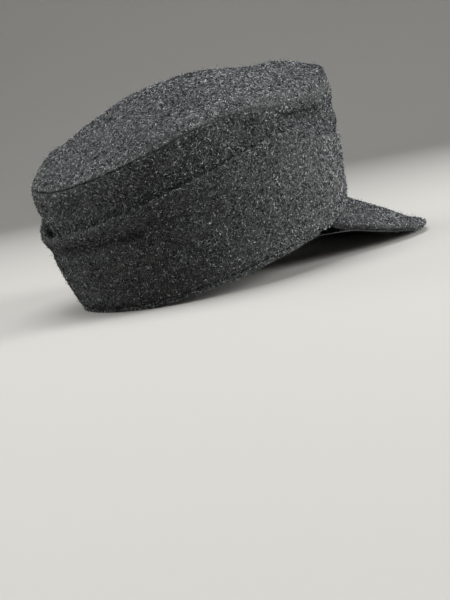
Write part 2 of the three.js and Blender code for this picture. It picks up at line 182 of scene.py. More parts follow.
# Finer slumps and swells, which the fine cloth has beyond its solids' own.
CROWN_CREASES = (
    Fold(140, 74, 176, 72, 10, 2.2),
    Fold(-181, 84, -150, 86, 5, 0.9),
    Fold(-103, 85.5, -91, 85, 4.5, -2.6),
    Fold(-87, 84, -77, 79.5, 4.6, -5.4),
    Fold(-73, 77, -66, 71.5, 4.8, -5.6),
    Fold(-62, 69, -52, 65, 5, -4.0),
    Fold(-96, 89.5, -66, 85.5, 4.2, 2.8),
    Fold(-41, 61, 30, 62, 8, 3.8),
    Fold(-44, 82, 6, 82, 10, 1.0),
    Fold(-150, 78, -122, 84, 6, 0.6),
    Fold(112, 84, 76, 76, 5, -1.6),
    Fold(70, 74, 52, 66, 6, -1.6),
)
FLAP_CREASES = (
    Fold(-184, 48.5, -148, 50.5, 4.4, -4.6),
    Fold(-148, 49, -118, 56, 6, -1.3),
    Fold(-186, 30, -172, 12, 6, 0.7),
    Fold(-168, 34, -150, 22, 9, -0.8),
    Fold(-184, 10, -158, 7, 7, 1.4),
    Fold(-96, 46, -62, 34, 8, 0.8),
    Fold(-100, 62, -76, 58, 5, -0.8),
    Fold(-74, 52, -58, 44, 5, -0.8),
    Fold(-58, 28, -38, 27, 10, -1.6),
    Fold(150, 46, 118, 56, 6, -0.9),
    Fold(104, 40, 70, 28, 8, 0.8),
)
TOP_CREASES = (
    TopFold(-32, 30, -54, 26, 2.6, -0.8),
    TopFold(-62, 58, -38, 84, 9, -0.9),
    TopFold(-20, -8, -66, -22, 11, 0.8),
    TopFold(24, 46, 58, 10, 10, -0.8),
)

# How far the crown leans out against the flap's edge, by the angle from -180 to 180.
CROWN_LEAN = (
    Level(-180, 3.0), Level(-165, 2.5), Level(-150, 2.0), Level(-135, 1.7), Level(-120, 1.4),
    Level(-105, 1.0), Level(-90, 0.6), Level(-75, 0.2), Level(-60, -0.7), Level(-45, -1.0),
    Level(0, -1.6), Level(45, -2.0), Level(75, 0.3), Level(100, 1.5), Level(130, 2.8),
    Level(152, 1.2), Level(163, 0.6), Level(172, 1.8), Level(180, 3.0),
)

# How far the flap's doubled edge swells towards the crown, by the angle from the front.
FLAP_EDGE_SWELL = (
    Level(0, 0.3), Level(60, 0.4), Level(90, 0.6), Level(130, 1.2), Level(180, 2.2),
)

# How far the flap's edge leans in towards the crown, by the angle from the front.
FLAP_EDGE_LEAN = (
    Level(0, 3.4), Level(25, 3.6), Level(45, 3.4), Level(60, 2.4), Level(75, 0.8), Level(90, 0.0),
    Level(110, -0.2), Level(140, 0.6), Level(180, 0.7),
)

# How hard the stitches draw the top seam in, by the angle from the front.
SEAM_DRAW = (
    Level(0, 0.3), Level(60, 0.3), Level(90, 1.1), Level(120, 1.7), Level(150, 2.0),
    Level(180, 2.1),
)


@dataclass(frozen=True)
class SmoothTable:
    """A short table read as a smooth curve that never passes its rows.

    A curve with level ends has no slope at its first and last row, as where two sides meet.
    """

    rows: tuple[Level, ...]
    level_ends: bool = False

    def __call__(self, x: Array | float) -> Array:
        """Reads the curve.

        Args:
            x: where to read it, held between the first and the last row.

        Returns:
            The value at each x.
        """
        places = np.array([row.at for row in self.rows], float)
        values = np.array([row.value for row in self.rows], float)
        slopes = np.diff(values) / np.diff(places)
        product = slopes[:-1] * slopes[1:]
        total = np.where(product > 0, slopes[:-1] + slopes[1:], 1.0)
        inner = np.where(product > 0, 2 * product / total, 0.0)
        ends = (0.0, 0.0) if self.level_ends else (slopes[0], slopes[-1])
        tangents = np.concatenate([[ends[0]], inner, [ends[1]]])
        held = np.clip(x, places[0], places[-1])
        i = np.clip(np.searchsorted(places, held) - 1, 0, len(places) - 2)
        span = places[i + 1] - places[i]
        t = (held - places[i]) / span
        return (
            values[i] * (1 + 2 * t) * (1 - t) ** 2
            + values[i + 1] * t * t * (3 - 2 * t)
            + span * (tangents[i] * t * (1 - t) ** 2 - tangents[i + 1] * t * t * (1 - t))
        )


@dataclass(frozen=True)
class Ring:
    """A ring round the head, or many of them: half its length and width, and its shift back."""

    half_length: Array | float
    half_width: Array | float
    shift: Array | float = 0.0

    def point(self, angle: Array, height: Array | float) -> Array:
        """Points of the ring.

        Args:
            angle: angles round the head.
            height: heights above the rim.

        Returns:
            Points, with x, y and z along the last axis.
        """
        c = np.cos(np.radians(angle))
        s = np.sin(np.radians(angle))
        along = np.sign(c) * np.abs(c) ** (2 / SQUARENESS)
        across = np.sign(s) * np.abs(s) ** (2 / SQUARENESS)
        x = self.half_width * across * (1 - FRONT_NARROWING * c)
        y = self.shift - self.half_length * along
        return np.stack(np.broadcast_arrays(x, y, height), axis=-1)

    def outward(self, angle: Array) -> Array:
        """The level way out of the ring.

        Args:
            angle: angles round the head.

        Returns:
            A unit vector for each angle, along the last axis.
        """
        step = 0.5
        way = self.point(angle + step, 0.0) - self.point(angle - step, 0.0)
        out = np.stack([way[..., 1], -way[..., 0], np.zeros_like(way[..., 0])], axis=-1)
        return out / np.linalg.norm(out, axis=-1, keepdims=True)


def wall_ring(rows: tuple[WallRow, ...], share: Array) -> Ring:
    """The rings of a wall, each column of its table read as a smooth curve.

    Args:
        rows: the wall's table.
        share: shares of the way up the wall.

    Returns:
        The ring at each share.
    """
    columns = (
        tuple(Level(row.share, getattr(row, name)) for row in rows)
        for name in ("half_length", "half_width", "shift")
    )
    return Ring(*(SmoothTable(column)(share) for column in columns))


def half_turns(angle: Array) -> Array:
    """The same angle, from -180 to 180."""
    return (angle + 180) % 360 - 180


def from_front(angle: Array) -> Array:
    """The angle from the front, 0 to 180, whichever side it is on."""
    return np.abs(half_turns(angle))


def by_angle(rows: tuple[Level, ...], angle: Array) -> Array:
    """Reads a table of values by the angle from the front, the same on both sides."""
    return SmoothTable(rows, level_ends=True)(from_front(angle))


def bell(*ways: Array) -> Array:
    """A smooth swell that is 1 in the middle and fades over about one unit each way."""
    return np.exp(-sum(way * way for way in ways))


def smoothstep(x: Array, low: float, high: float) -> Array:
    """A smooth ramp from 0 at low to 1 at high."""
    t = np.clip((x - low) / (high - low), 0, 1)
    return t * t * (3 - 2 * t)


def line_swell(fold: Fold | TopFold, x: Array, y: Array, dx: float, dy: float) -> Array:
    """How far one fold moves the places near its line.

    Args:
        fold: the fold, for its width and depth.
        x: how far each place is past the line's start, the first way.
        y: the same, the second way.
        dx: how far the line runs, the first way.
        dy: the same, the second way.

    Returns:
        The move at each place, in millimetres.
    """
    t = np.clip((x * dx + y * dy) / (dx * dx + dy * dy), 0, 1)
    return fold.depth * bell(np.hypot(x - t * dx, y - t * dy) / fold.width)


def fold_depth(folds: Sequence[Fold], angle: Array, height: Array) -> Array:
    """How far the folds of a wall move it outwards.

    Args:
        folds: the folds.
        angle: angles round the head.
        height: heights above the rim.

    Returns:
        The move at each place, in millimetres.
    """
    depth = np.zeros(np.broadcast(angle, height).shape)
    for fold in folds:
        x = np.radians(half_turns(angle - fold.from_angle)) * WALL_RADIUS
        dx = math.radians(fold.to_angle - fold.from_angle) * WALL_RADIUS
        dy = fold.to_height - fold.from_height
        depth = depth + line_swell(fold, x, height - fold.from_height, dx, dy)
    return depth


def top_fold_depth(folds: Sequence[TopFold], points: Array) -> Array:
    """How far the folds of the top panel lift it.

    Args:
        folds: the folds.
        points: points of the panel.

    Returns:
        The lift at each point, in millimetres.
    """
    depth = np.zeros(points.shape[:-1])
    for fold in folds:
        x = points[..., 0] - fold.from_x
        y = points[..., 1] - fold.from_y
        depth = depth + line_swell(fold, x, y, fold.to_x - fold.from_x, fold.to_y - fold.from_y)
    return depth


def rim_to_origin() -> float:
    """How far the rim's middle lies behind the frame's origin, from the hem's rearmost point."""
    hem = RimHem()
    upper = hem.height - hem.roll()
    rearmost = hem.ring.half_length * math.cos(REST_PITCH) + upper * math.sin(REST_PITCH)
    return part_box(hem.node)[1].y / MM - rearmost


def set_down(points: Array) -> Array:
    """Stands points of the cap on the floor, where its cloth presses flat.

    Args:
        points: points in the cap's own frame, in millimetres.

    Returns:
        The points in the row's frame, in metres.
    """
    lift = RimHem().ring.half_length * math.sin(REST_PITCH) - REST_SINK
    y = points[..., 1] * math.cos(REST_PITCH) + points[..., 2] * math.sin(REST_PITCH)
    z = points[..., 2] * math.cos(REST_PITCH) - points[..., 1] * math.sin(REST_PITCH) + lift
    stood = np.stack([points[..., 0], y + rim_to_origin(), np.maximum(z, 0.0)], axis=-1)
    return stood * MM


@dataclass(frozen=True)
class Lumps:
    """A smooth unevenness of the cloth: its depth, and the distance from lump to lump.

    The offset moves the pattern, so that no two are alike. With a flatness above 1, the lumps are
    that much shorter up the cloth than round the head.
    """

    depth: float
    wavelength: float
    offset: float
    flatness: float = 1.0

    def at(self, points: Array) -> Array:
        """The unevenness at each point.

        Args:
            points: points in millimetres.

        Returns:
            Values from minus the depth to the depth.
        """
        flat = (points * (1.0, 1.0, self.flatness)).reshape(-1, 3) / self.wavelength + self.offset
        values = np.array([noise.noise(Vector(p)) for p in flat])
        return self.depth * values.reshape(points.shape[:-1])

    def round_head(self, angle: Array) -> Array:
        """The unevenness along a ring.

        Args:
            angle: angles round the head.

        Returns:
            Values from minus the depth to the depth.
        """
        turn = np.radians(angle)
        ring = np.stack([np.cos(turn), np.sin(turn), np.zeros_like(turn)], axis=-1)
        return self.at(ring * WALL_RADIUS)


def grid_normals(points: Array, joined: bool) -> Array:
    """Unit normals of a grid of points, whose first axis runs round the head.

    Args:
        points: the grid, first round the head and then up the cloth.
        joined: whether the last column meets the first.

    Returns:
        A unit normal for each point, along the last axis.
    """
    if joined:
        round_head = np.roll(points, -1, axis=0) - np.roll(points, 1, axis=0)
    else:
        round_head = np.gradient(points, axis=0)
    up_cloth = np.gradient(points, axis=1)
    normals = np.cross(round_head, up_cloth)
    length = np.linalg.norm(normals, axis=-1, keepdims=True)
    return normals / np.maximum(length, TINY)


class Edge(NamedTuple):
    """How an edge is rounded: 1 is a half circle and less is flatter. It has so many rows."""

    roundness: float
    rows: int


def round_edge(outside: Array, inside: Array, before: Array, edge: Edge) -> Array:
    """Rows that lead over the edge of a wall from its outside to its inside.

    Args:
        outside: the last row of the outside.
        inside: the last row of the inside.
        before: the row of the outside before the last one.
        edge: how the edge is rounded.

    Returns:
        The rows, along the second axis.
    """
    middle = (outside + inside) / 2
    half = (outside - inside) / 2
    way = outside - before
    way = way / np.linalg.norm(way, axis=-1, keepdims=True)
    reach = np.linalg.norm(half, axis=-1, keepdims=True) * edge.roundness
    turns = np.pi * np.arange(1, edge.rows + 1) / (edge.rows + 1)
    return np.stack(
        [middle + half * math.cos(turn) + way * reach * math.sin(turn) for turn in turns], axis=1
    )


def close_wall(
    outside: Array, inside: Array, upper: Edge, lower: Edge
) -> tuple[Array, Array, Array]:
    """Joins a wall's outside and inside over both of its edges.

    Args:
        outside: the outside, from the lower edge to the upper one.
        inside: the inside, the same way.
        upper: how the upper edge is rounded.
        lower: how the lower edge is rounded.

    Returns:
        The loops round the cloth, the upper edge's rows and the lower edge's rows.
    """
    over = round_edge(outside[:, -1], inside[:, -1], outside[:, -2], upper)
    under = round_edge(inside[:, 0], outside[:, 0], inside[:, 1], lower)
    return np.concatenate([outside, over, inside[:, ::-1], under], axis=1), over, under


def eased(count: int, ease: float) -> Array:
    """Shares from 0 to 1 that stand closer at the end.

    Args:
        count: how many.
        ease: 1 is even, more draws them towards 1.

    Returns:
        The shares.
    """
    return 1 - (1 - np.linspace(0, 1, count)) ** ease


def grid(round_head: Array, up_cloth: Array) -> tuple[Array, Array]:
    """Two grids, of the places round the head and of those up the cloth."""
    return np.broadcast_arrays(round_head[:, None], up_cloth[None, :])


def every_few(rows: int, kept: int) -> Array:
    """The numbers of the rows to keep, spread evenly from the first to the last."""
    return np.linspace(0, rows - 1, kept).round().astype(int)


def to_last_row(points: Array) -> Array:
    """How far each point of a grid is from its last row, along the cloth.

    Args:
        points: the grid, first round the head and then up the cloth.

    Returns:
        The distance for each point.
    """
    steps = np.linalg.norm(np.diff(points, axis=1), axis=-1)
    ways = np.cumsum(steps[:, ::-1], axis=1)[:, ::-1]
    return np.concatenate([ways, np.zeros((len(points), 1))], axis=1)


def new_object(name: str, data: bpy.types.ID) -> bpy.types.Object:
    """Adds an object to the scene, at the origin.

    Args:
        name: the object's name.
        data: its mesh, light or camera.

    Returns:
        The new object.
    """
    made = bpy.data.objects.new(name, data)
    bpy.context.scene.collection.objects.link(made)
    return made


def open_mesh(piece: bpy.types.Object) -> None:
    """Selects one object alone and opens its mesh for editing, with all of it selected.

    Args:
        piece: the object.
    """
    bpy.ops.object.select_all(action="DESELECT")
    piece.select_set(True)
    bpy.context.view_layer.objects.active = piece
    bpy.ops.object.mode_set(mode="EDIT")
    bpy.ops.mesh.select_all(action="SELECT")


def close_mesh(piece: bpy.types.Object) -> None:
    """Ends the editing of a mesh, shades it smooth and deselects its object.

    Args:
        piece: the object.
    """
    bpy.ops.object.mode_set(mode="OBJECT")
    piece.data.shade_smooth()
    piece.select_set(False)


def deselect_mesh(kind: str) -> None:
    """Deselects all of the active object's mesh, so that code can select parts of it.

    Args:
        kind: what it will select, "FACE" or "EDGE".
    """
    bpy.ops.object.mode_set(mode="EDIT")
    bpy.ops.mesh.select_mode(type=kind)
    bpy.ops.mesh.select_all(action="DESELECT")
    bpy.ops.object.mode_set(mode="OBJECT")


def mesh_piece(name: str, vertices: Array, faces: Array) -> bpy.types.Object:
    """A mesh object at the origin, with doubles merged and smooth shading.

    Args:
        name: the object's name.
        vertices: points in metres.
        faces: rows of vertex numbers.

    Returns:
        The new object.
    """
    mesh = bpy.data.meshes.new(name)
    mesh.from_pydata(vertices.tolist(), [], faces.tolist())
    piece = new_object(name, mesh)
    open_mesh(piece)
    bpy.ops.mesh.remove_doubles(threshold=MERGE)
    bpy.ops.mesh.dissolve_degenerate(threshold=SHORTEST)
    close_mesh(piece)
    return piece


def loft(name: str, loops: Array, joined: bool) -> bpy.types.Object:
    """A closed wall from columns, each of them a closed loop of points round the cloth.

    Args:
        name: the object's name.
        loops: points in the cap's own frame, first round the head and then round the cloth.
        joined: whether the last column meets the first. Otherwise both ends are closed.

    Returns:
        The new object.
    """
    columns, count = loops.shape[:2]
    number = np.arange(columns * count).reshape(columns, count)
    following = np.roll(number, -1, axis=0) if joined else number[1:]
    here = number if joined else number[:-1]
    faces = np.stack(
        [here, following, np.roll(following, -1, axis=1), np.roll(here, -1, axis=1)], axis=-1
    ).reshape(-1, 4)
    if not joined:
        low = np.arange(count // 2 - 1)
        high = count - 1 - low
        first = np.stack([low, low + 1, high - 1, high], axis=-1)
        last = number[-1][first[:, ::-1]]
        faces = np.concatenate([faces, number[0][first], last])
    return mesh_piece(name, set_down(loops).reshape(-1, 3), faces)


def srgb(code: str) -> tuple[float, float, float, float]:
    """Turns an sRGB hex colour to linear.

    Args:
        code: the colour, such as "#5b5d5e".

    Returns:
        Linear red, green and blue, and an alpha of 1.
    """
    values = [int(code[i : i + 2], 16) / 255 for i in (1, 3, 5)]
    linear = [v / 12.92 if v <= 0.04045 else ((v + 0.055) / 1.055) ** 2.4 for v in values]
    return (linear[0], linear[1], linear[2], 1.0)


def add_node(
    tree: bpy.types.NodeTree, kind: str, inputs: Sockets | None = None, **settings: object
) -> bpy.types.Node:
    """Adds a node with its settings and links.

    Args:
        tree: the tree that it goes into.
        kind: the node's type.
        inputs: for each socket, a value or the output that is linked to it.
        settings: the node's own attributes.

    Returns:
        The new node.
    """
    node = tree.nodes.new(kind)
    for key, value in settings.items():
        setattr(node, key, value)
    for key, value in (inputs or {}).items():
        if isinstance(value, bpy.types.NodeSocket):
            tree.links.new(value, node.inputs[key])
        else:
            node.inputs[key].default_value = value
    return node


@dataclass(frozen=True)
class Finish:
    """A finish, named for its real material. Each kind says what its shader reads."""

    name: str

    def material(self) -> bpy.types.Material:
        """Builds the material, the first time that a piece asks for it.

        Returns:
            The material.
        """
        made = bpy.data.materials.get(self.name)
        if made:
            return made
        made = bpy.data.materials.new(self.name)
        made.use_nodes = True
        tree = made.node_tree
        tree.nodes.clear()
        shader = add_node(tree, "ShaderNodeBsdfPrincipled", self.sockets(tree)).outputs[0]
        add_node(tree, "ShaderNodeOutputMaterial", {"Surface": shader})
        return made

    def sockets(self, tree: bpy.types.NodeTree) -> Sockets:
        """What the shader's sockets read, from nodes that this adds to the tree."""
        raise NotImplementedError


class FibreLayer(NamedTuple):
    """A layer of drawn fibres: the distance between them, and what moves it off the others."""

    cell_mm: float
    shift: float


@dataclass(frozen=True)
class MeltonWool(Finish):
    """Melton: thick wool, milled until its fibres felt together and hide the weave.

    It gives the eye a heathered grey: short light and dark fibres that lie every way, in clumps of
    about a millimetre, with no thread to be seen, a soft uneven ground and a pale bloom at its
    edges. Real fibres are 0.03 mm thick. They are drawn about ten times as coarse to show at all.
    A ramp of painted light makes it darker at the rear of the cap and paler at its front, as the
    light falls there.
    """

    dark: str = "#0d0e0f"
    light: str = "#b9bcbd"
    bloom: str = "#c9cccb"
    rare_light: float = 2.2
    # The brightness is the wool's own tone, and its difference from panel to panel is painted
    # light and shade.
    brightness: float = 1.0
    uneven: float = 0.12
    clump_mm: float = 1.25
    layers: tuple[FibreLayer, ...] = (
        FibreLayer(0.9, 0.0),
        FibreLayer(1.3, 0.37),
        FibreLayer(0.7, 0.81),
    )
    fibre_long_mm: float = 1.6
    fibre_wide_mm: float = 0.42
    fibre_rise: float = 0.45
    blotch_mm: float = 26.0
    relief_mm: float = 0.5
    sheen: float = 0.2
    # A ramp of painted light: darker at the rear of the cap and paler at its front.
    painted_light_ramp: float = 0.0

    def fibres(
        self, tree: bpy.types.NodeTree, place: bpy.types.NodeSocket, layer: FibreLayer
    ) -> tuple[bpy.types.NodeSocket, bpy.types.NodeSocket]:
        """A layer of short fibres that lie every way, one in each cell of the cloth.

        Args:
            tree: the material's nodes.
            place: coordinates in metres.
            layer: which layer.

        Returns:
            How much of a fibre is at each place, and that fibre's own random tone.
        """
        moved = add_node(
            tree, "ShaderNodeVectorMath", {0: place, 1: (layer.shift,) * 3}, operation="ADD"
        ).outputs[0]
        cells = add_node(
            tree, "ShaderNodeTexVoronoi", {"Vector": moved, "Scale": 1 / (layer.cell_mm * MM)}
        )
        local = add_node(
            tree, "ShaderNodeVectorMath", {0: moved, 1: cells.outputs["Position"]},
            operation="SUBTRACT",
        ).outputs[0]
        angles = add_node(
            tree, "ShaderNodeVectorMath", {0: cells.outputs["Color"], "Scale": 2 * math.pi},
            operation="SCALE",
        ).outputs[0]
        turned = add_node(
            tree, "ShaderNodeVectorRotate", {"Vector": local, "Rotation": angles},
            rotation_type="EULER_XYZ",
        ).outputs[0]
        half_long = self.fibre_long_mm * MM / 2
        half_wide = self.fibre_wide_mm * MM / 2
        stretched = add_node(
            tree, "ShaderNodeVectorMath", {0: turned, 1: (half_long, half_wide, half_wide)},
            operation="DIVIDE",
        ).outputs[0]
        away = add_node(
            tree, "ShaderNodeVectorMath", {0: stretched}, operation="LENGTH"
        ).outputs["Value"]
        there = add_node(
            tree, "ShaderNodeMapRange",
            {"Value": away, "From Min": 1.3, "From Max": 0.5, "To Min": 0.0, "To Max": 1.0},
            interpolation_type="SMOOTHSTEP",
        ).outputs[0]
        chance = add_node(
            tree, "ShaderNodeSeparateColor", {"Color": cells.outputs["Color"]}
        ).outputs["Green"]
        tone = add_node(
            tree, "ShaderNodeMath", {0: chance, 1: self.rare_light}, operation="POWER"
        ).outputs[0]
        return there, tone

    def heather(
        self, tree: bpy.types.NodeTree, place: bpy.types.NodeSocket
    ) -> tuple[bpy.types.NodeSocket, bpy.types.NodeSocket]:
        """The clumped ground with its layers of fibres.

        Args:
            tree: the material's nodes.
            place: coordinates in metres.

        Returns:
            The tone from dark to light, and the height of the felt.
        """
        clumps = add_node(
            tree, "ShaderNodeTexNoise",
            {"Vector": place, "Scale": 1 / (self.clump_mm * MM), "Detail": 2.0, "Roughness": 0.6},
        ).outputs[0]
        tone = add_node(
            tree, "ShaderNodeMapRange",
            {"Value": clumps, "From Min": 0.35, "From Max": 0.75, "To Min": 0.0, "To Max": 0.3},
        ).outputs[0]
        height = clumps
        for layer in self.layers:
            there, own = self.fibres(tree, place, layer)
            tone = add_node(
                tree, "ShaderNodeMix", {0: there, 2: tone, 3: own}, data_type="FLOAT"
            ).outputs[0]
            height = add_node(
                tree, "ShaderNodeMath", {0: there, 1: self.fibre_rise, 2: height},
                operation="MULTIPLY_ADD",
            ).outputs[0]
        return tone, height

    def strength(
        self, tree: bpy.types.NodeTree, place: bpy.types.NodeSocket
    ) -> bpy.types.NodeSocket:
        """How strong the colour is: soft blotches, and painted light that makes it paler from the
        rear to the front.

        Args:
            tree: the material's nodes.
            place: coordinates in metres.

        Returns:
            The factor at each place.
        """
        blotches = add_node(
            tree, "ShaderNodeTexNoise",
            {"Vector": place, "Scale": 1 / (self.blotch_mm * MM), "Detail": 2.0},
        ).outputs[0]
        ground = add_node(
            tree, "ShaderNodeMapRange",
            {
                "Value": blotches, "From Min": 0.25, "From Max": 0.75,
                "To Min": (1 - self.uneven) * self.brightness,
                "To Max": (1 + self.uneven) * self.brightness,
            },
        ).outputs[0]
        along = add_node(tree, "ShaderNodeSeparateXYZ", {"Vector": place}).outputs["Y"]
        # Painted light: darker at the rear of the cap and paler at its front, as the light falls.
        painted_light = add_node(
            tree, "ShaderNodeMapRange",
            {
                "Value": along, "From Min": PAINTED_LIGHT_REAR * MM, "From Max": PAINTED_LIGHT_FRONT * MM,
                "To Min": 1 - self.painted_light_ramp, "To Max": 1 + self.painted_light_ramp,
            },
            interpolation_type="SMOOTHSTEP",
        ).outputs[0]
        return add_node(
            tree, "ShaderNodeMath", {0: ground, 1: painted_light}, operation="MULTIPLY"
        ).outputs[0]

    def sockets(self, tree: bpy.types.NodeTree) -> Sockets:
        """Lays out the heather, its strength and its felted relief.

        Args:
            tree: the material's nodes.

        Returns:
            What the shader's sockets read.
        """
        place = add_node(tree, "ShaderNodeTexCoord").outputs["Object"]
        tone, height = self.heather(tree, place)
        colour = add_node(
            tree, "ShaderNodeMix", {0: tone, 6: srgb(self.dark), 7: srgb(self.light)},
            data_type="RGBA",
        ).outputs[2]
        shaded = add_node(
            tree, "ShaderNodeVectorMath", {0: colour, "Scale": self.strength(tree, place)},
            operation="SCALE",
        ).outputs[0]
        bump = add_node(
            tree, "ShaderNodeBump",
            {"Strength": 0.9, "Distance": self.relief_mm * MM, "Height": height},
        ).outputs[0]
        return {
            "Base Color": shaded, "Roughness": 0.95, "Specular IOR Level": 0.15,
            "Sheen Weight": self.sheen, "Sheen Roughness": 0.55,
            "Sheen Tint": srgb(self.bloom), "Normal": bump,
        }


@dataclass(frozen=True)
class WoolFibre(Finish):
    """Loose wool fibres on the cloth: dull, each in the dye of its own lock of wool, with painted
    light and shade in that colour.
    """

    def sockets(self, tree: bpy.types.NodeTree) -> Sockets:
        """Lets the shader read each fibre's dye, which carries painted light and shade."""
        dye = add_node(tree, "ShaderNodeVertexColor", layer_name=Nap.DYE_AND_PAINTED_LIGHT).outputs["Color"]
        return {
            "Base Color": dye, "Roughness": 0.9, "Specular IOR Level": 0.1,
            "Sheen Weight": 0.04, "Sheen Roughness": 0.5,
        }


@dataclass(frozen=True)
class Horn(Finish):
    """Polished dark horn: nearly black brown, clouded along its grain, with a soft gloss."""

    dark: str = "#1d1a17"
    light: str = "#4a3f33"
    grain_mm: float = 2.4

    def sockets(self, tree: bpy.types.NodeTree) -> Sockets:
        """Lays out the clouds of the grain.

        Args:
            tree: the material's nodes.

        Returns:
            What the shader's sockets read.
        """
        place = add_node(tree, "ShaderNodeTexCoord").outputs["Object"]
        along = add_node(
            tree, "ShaderNodeMapping", {"Vector": place, "Scale": (1.0, 1.0, 0.25)}
        ).outputs[0]
        cloud = add_node(
            tree, "ShaderNodeTexNoise",
            {"Vector": along, "Scale": 1 / (self.grain_mm * MM), "Detail": 4.0, "Distortion": 0.6},
        ).outputs[0]
        colour = add_node(
            tree, "ShaderNodeMix", {0: cloud, 6: srgb(self.dark), 7: srgb(self.light)},
            data_type="RGBA",
        ).outputs[2]
        rough = add_node(
            tree, "ShaderNodeMapRange", {"Value": cloud, "To Min": 0.32, "To Max": 0.5}
        ).outputs[0]
        bump = add_node(
            tree, "ShaderNodeBump", {"Strength": 0.2, "Distance": 0.1 * MM, "Height": cloud}
        ).outputs[0]
        return {"Base Color": colour, "Roughness": rough, "IOR": 1.54, "Normal": bump}


@dataclass(frozen=True)
class BackdropPaper(Finish):
    """Seamless studio paper: one pale, even tone without gloss."""

    colour: str = "#bdbcb8"

    def sockets(self, tree: bpy.types.NodeTree) -> Sockets:
        """Gives the shader the paper's plain colour."""
        return {
            "Base Color": srgb(self.colour), "Roughness": 0.9, "Specular IOR Level": 0.1,
        }


class Cloth(Enum):
    """The cloths and other finishes of the cap."""

    # Each panel has its own copy of the one wool. Its brightness is the wool's tone and also
    # painted light and shade: the side is painted darker and the top and facing paler, as the
    # light falls on them. Its ramp is painted light from the rear to the front.
    TOP = MeltonWool("melton_wool_top", brightness=0.96, painted_light_ramp=-0.12)
    SIDE = MeltonWool("melton_wool_side", brightness=0.74, painted_light_ramp=0.14)
    FLAP = MeltonWool("melton_wool_flap", brightness=0.84, painted_light_ramp=0.42)
    HEM = MeltonWool("melton_wool_hem", brightness=0.85)
    PEAK = MeltonWool("melton_wool_peak", brightness=0.9)
    FACING = MeltonWool("melton_wool_facing", brightness=1.3)
    FIBRE = WoolFibre("wool_fibre")
    HORN = Horn("polished_horn")


def finish_piece(
    piece: bpy.types.Object, finish: Cloth, nodes: Sequence[str] = ()
) -> None:
    """Args:
        piece: the piece.
        finish: its finish.
        nodes: the solids that it stands for.
    """
    piece.data.materials.append(finish.value.material())
    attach(piece, BODY)
    if nodes:
        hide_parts(*nodes)
    LOG.info("%s: %d faces", piece.name, len(piece.data.polygons))


class Dye(NamedTuple):
    """One dye of the heather: its colour, and how much of the wool has it."""

    colour: str
    share: float


HEATHER = (
    Dye("#0b0c0d", 0.32),
    Dye("#222426", 0.24),
    Dye("#46494c", 0.13),
    Dye("#7c7f83", 0.13),
    Dye("#b1b5b8", 0.11),
    Dye("#e1e4e7", 0.067),
    Dye("#8f7f55", 0.003),
)


class Spread(NamedTuple):
    """The least and the most of what chance gives, as shares of the usual."""

    least: float
    most: float


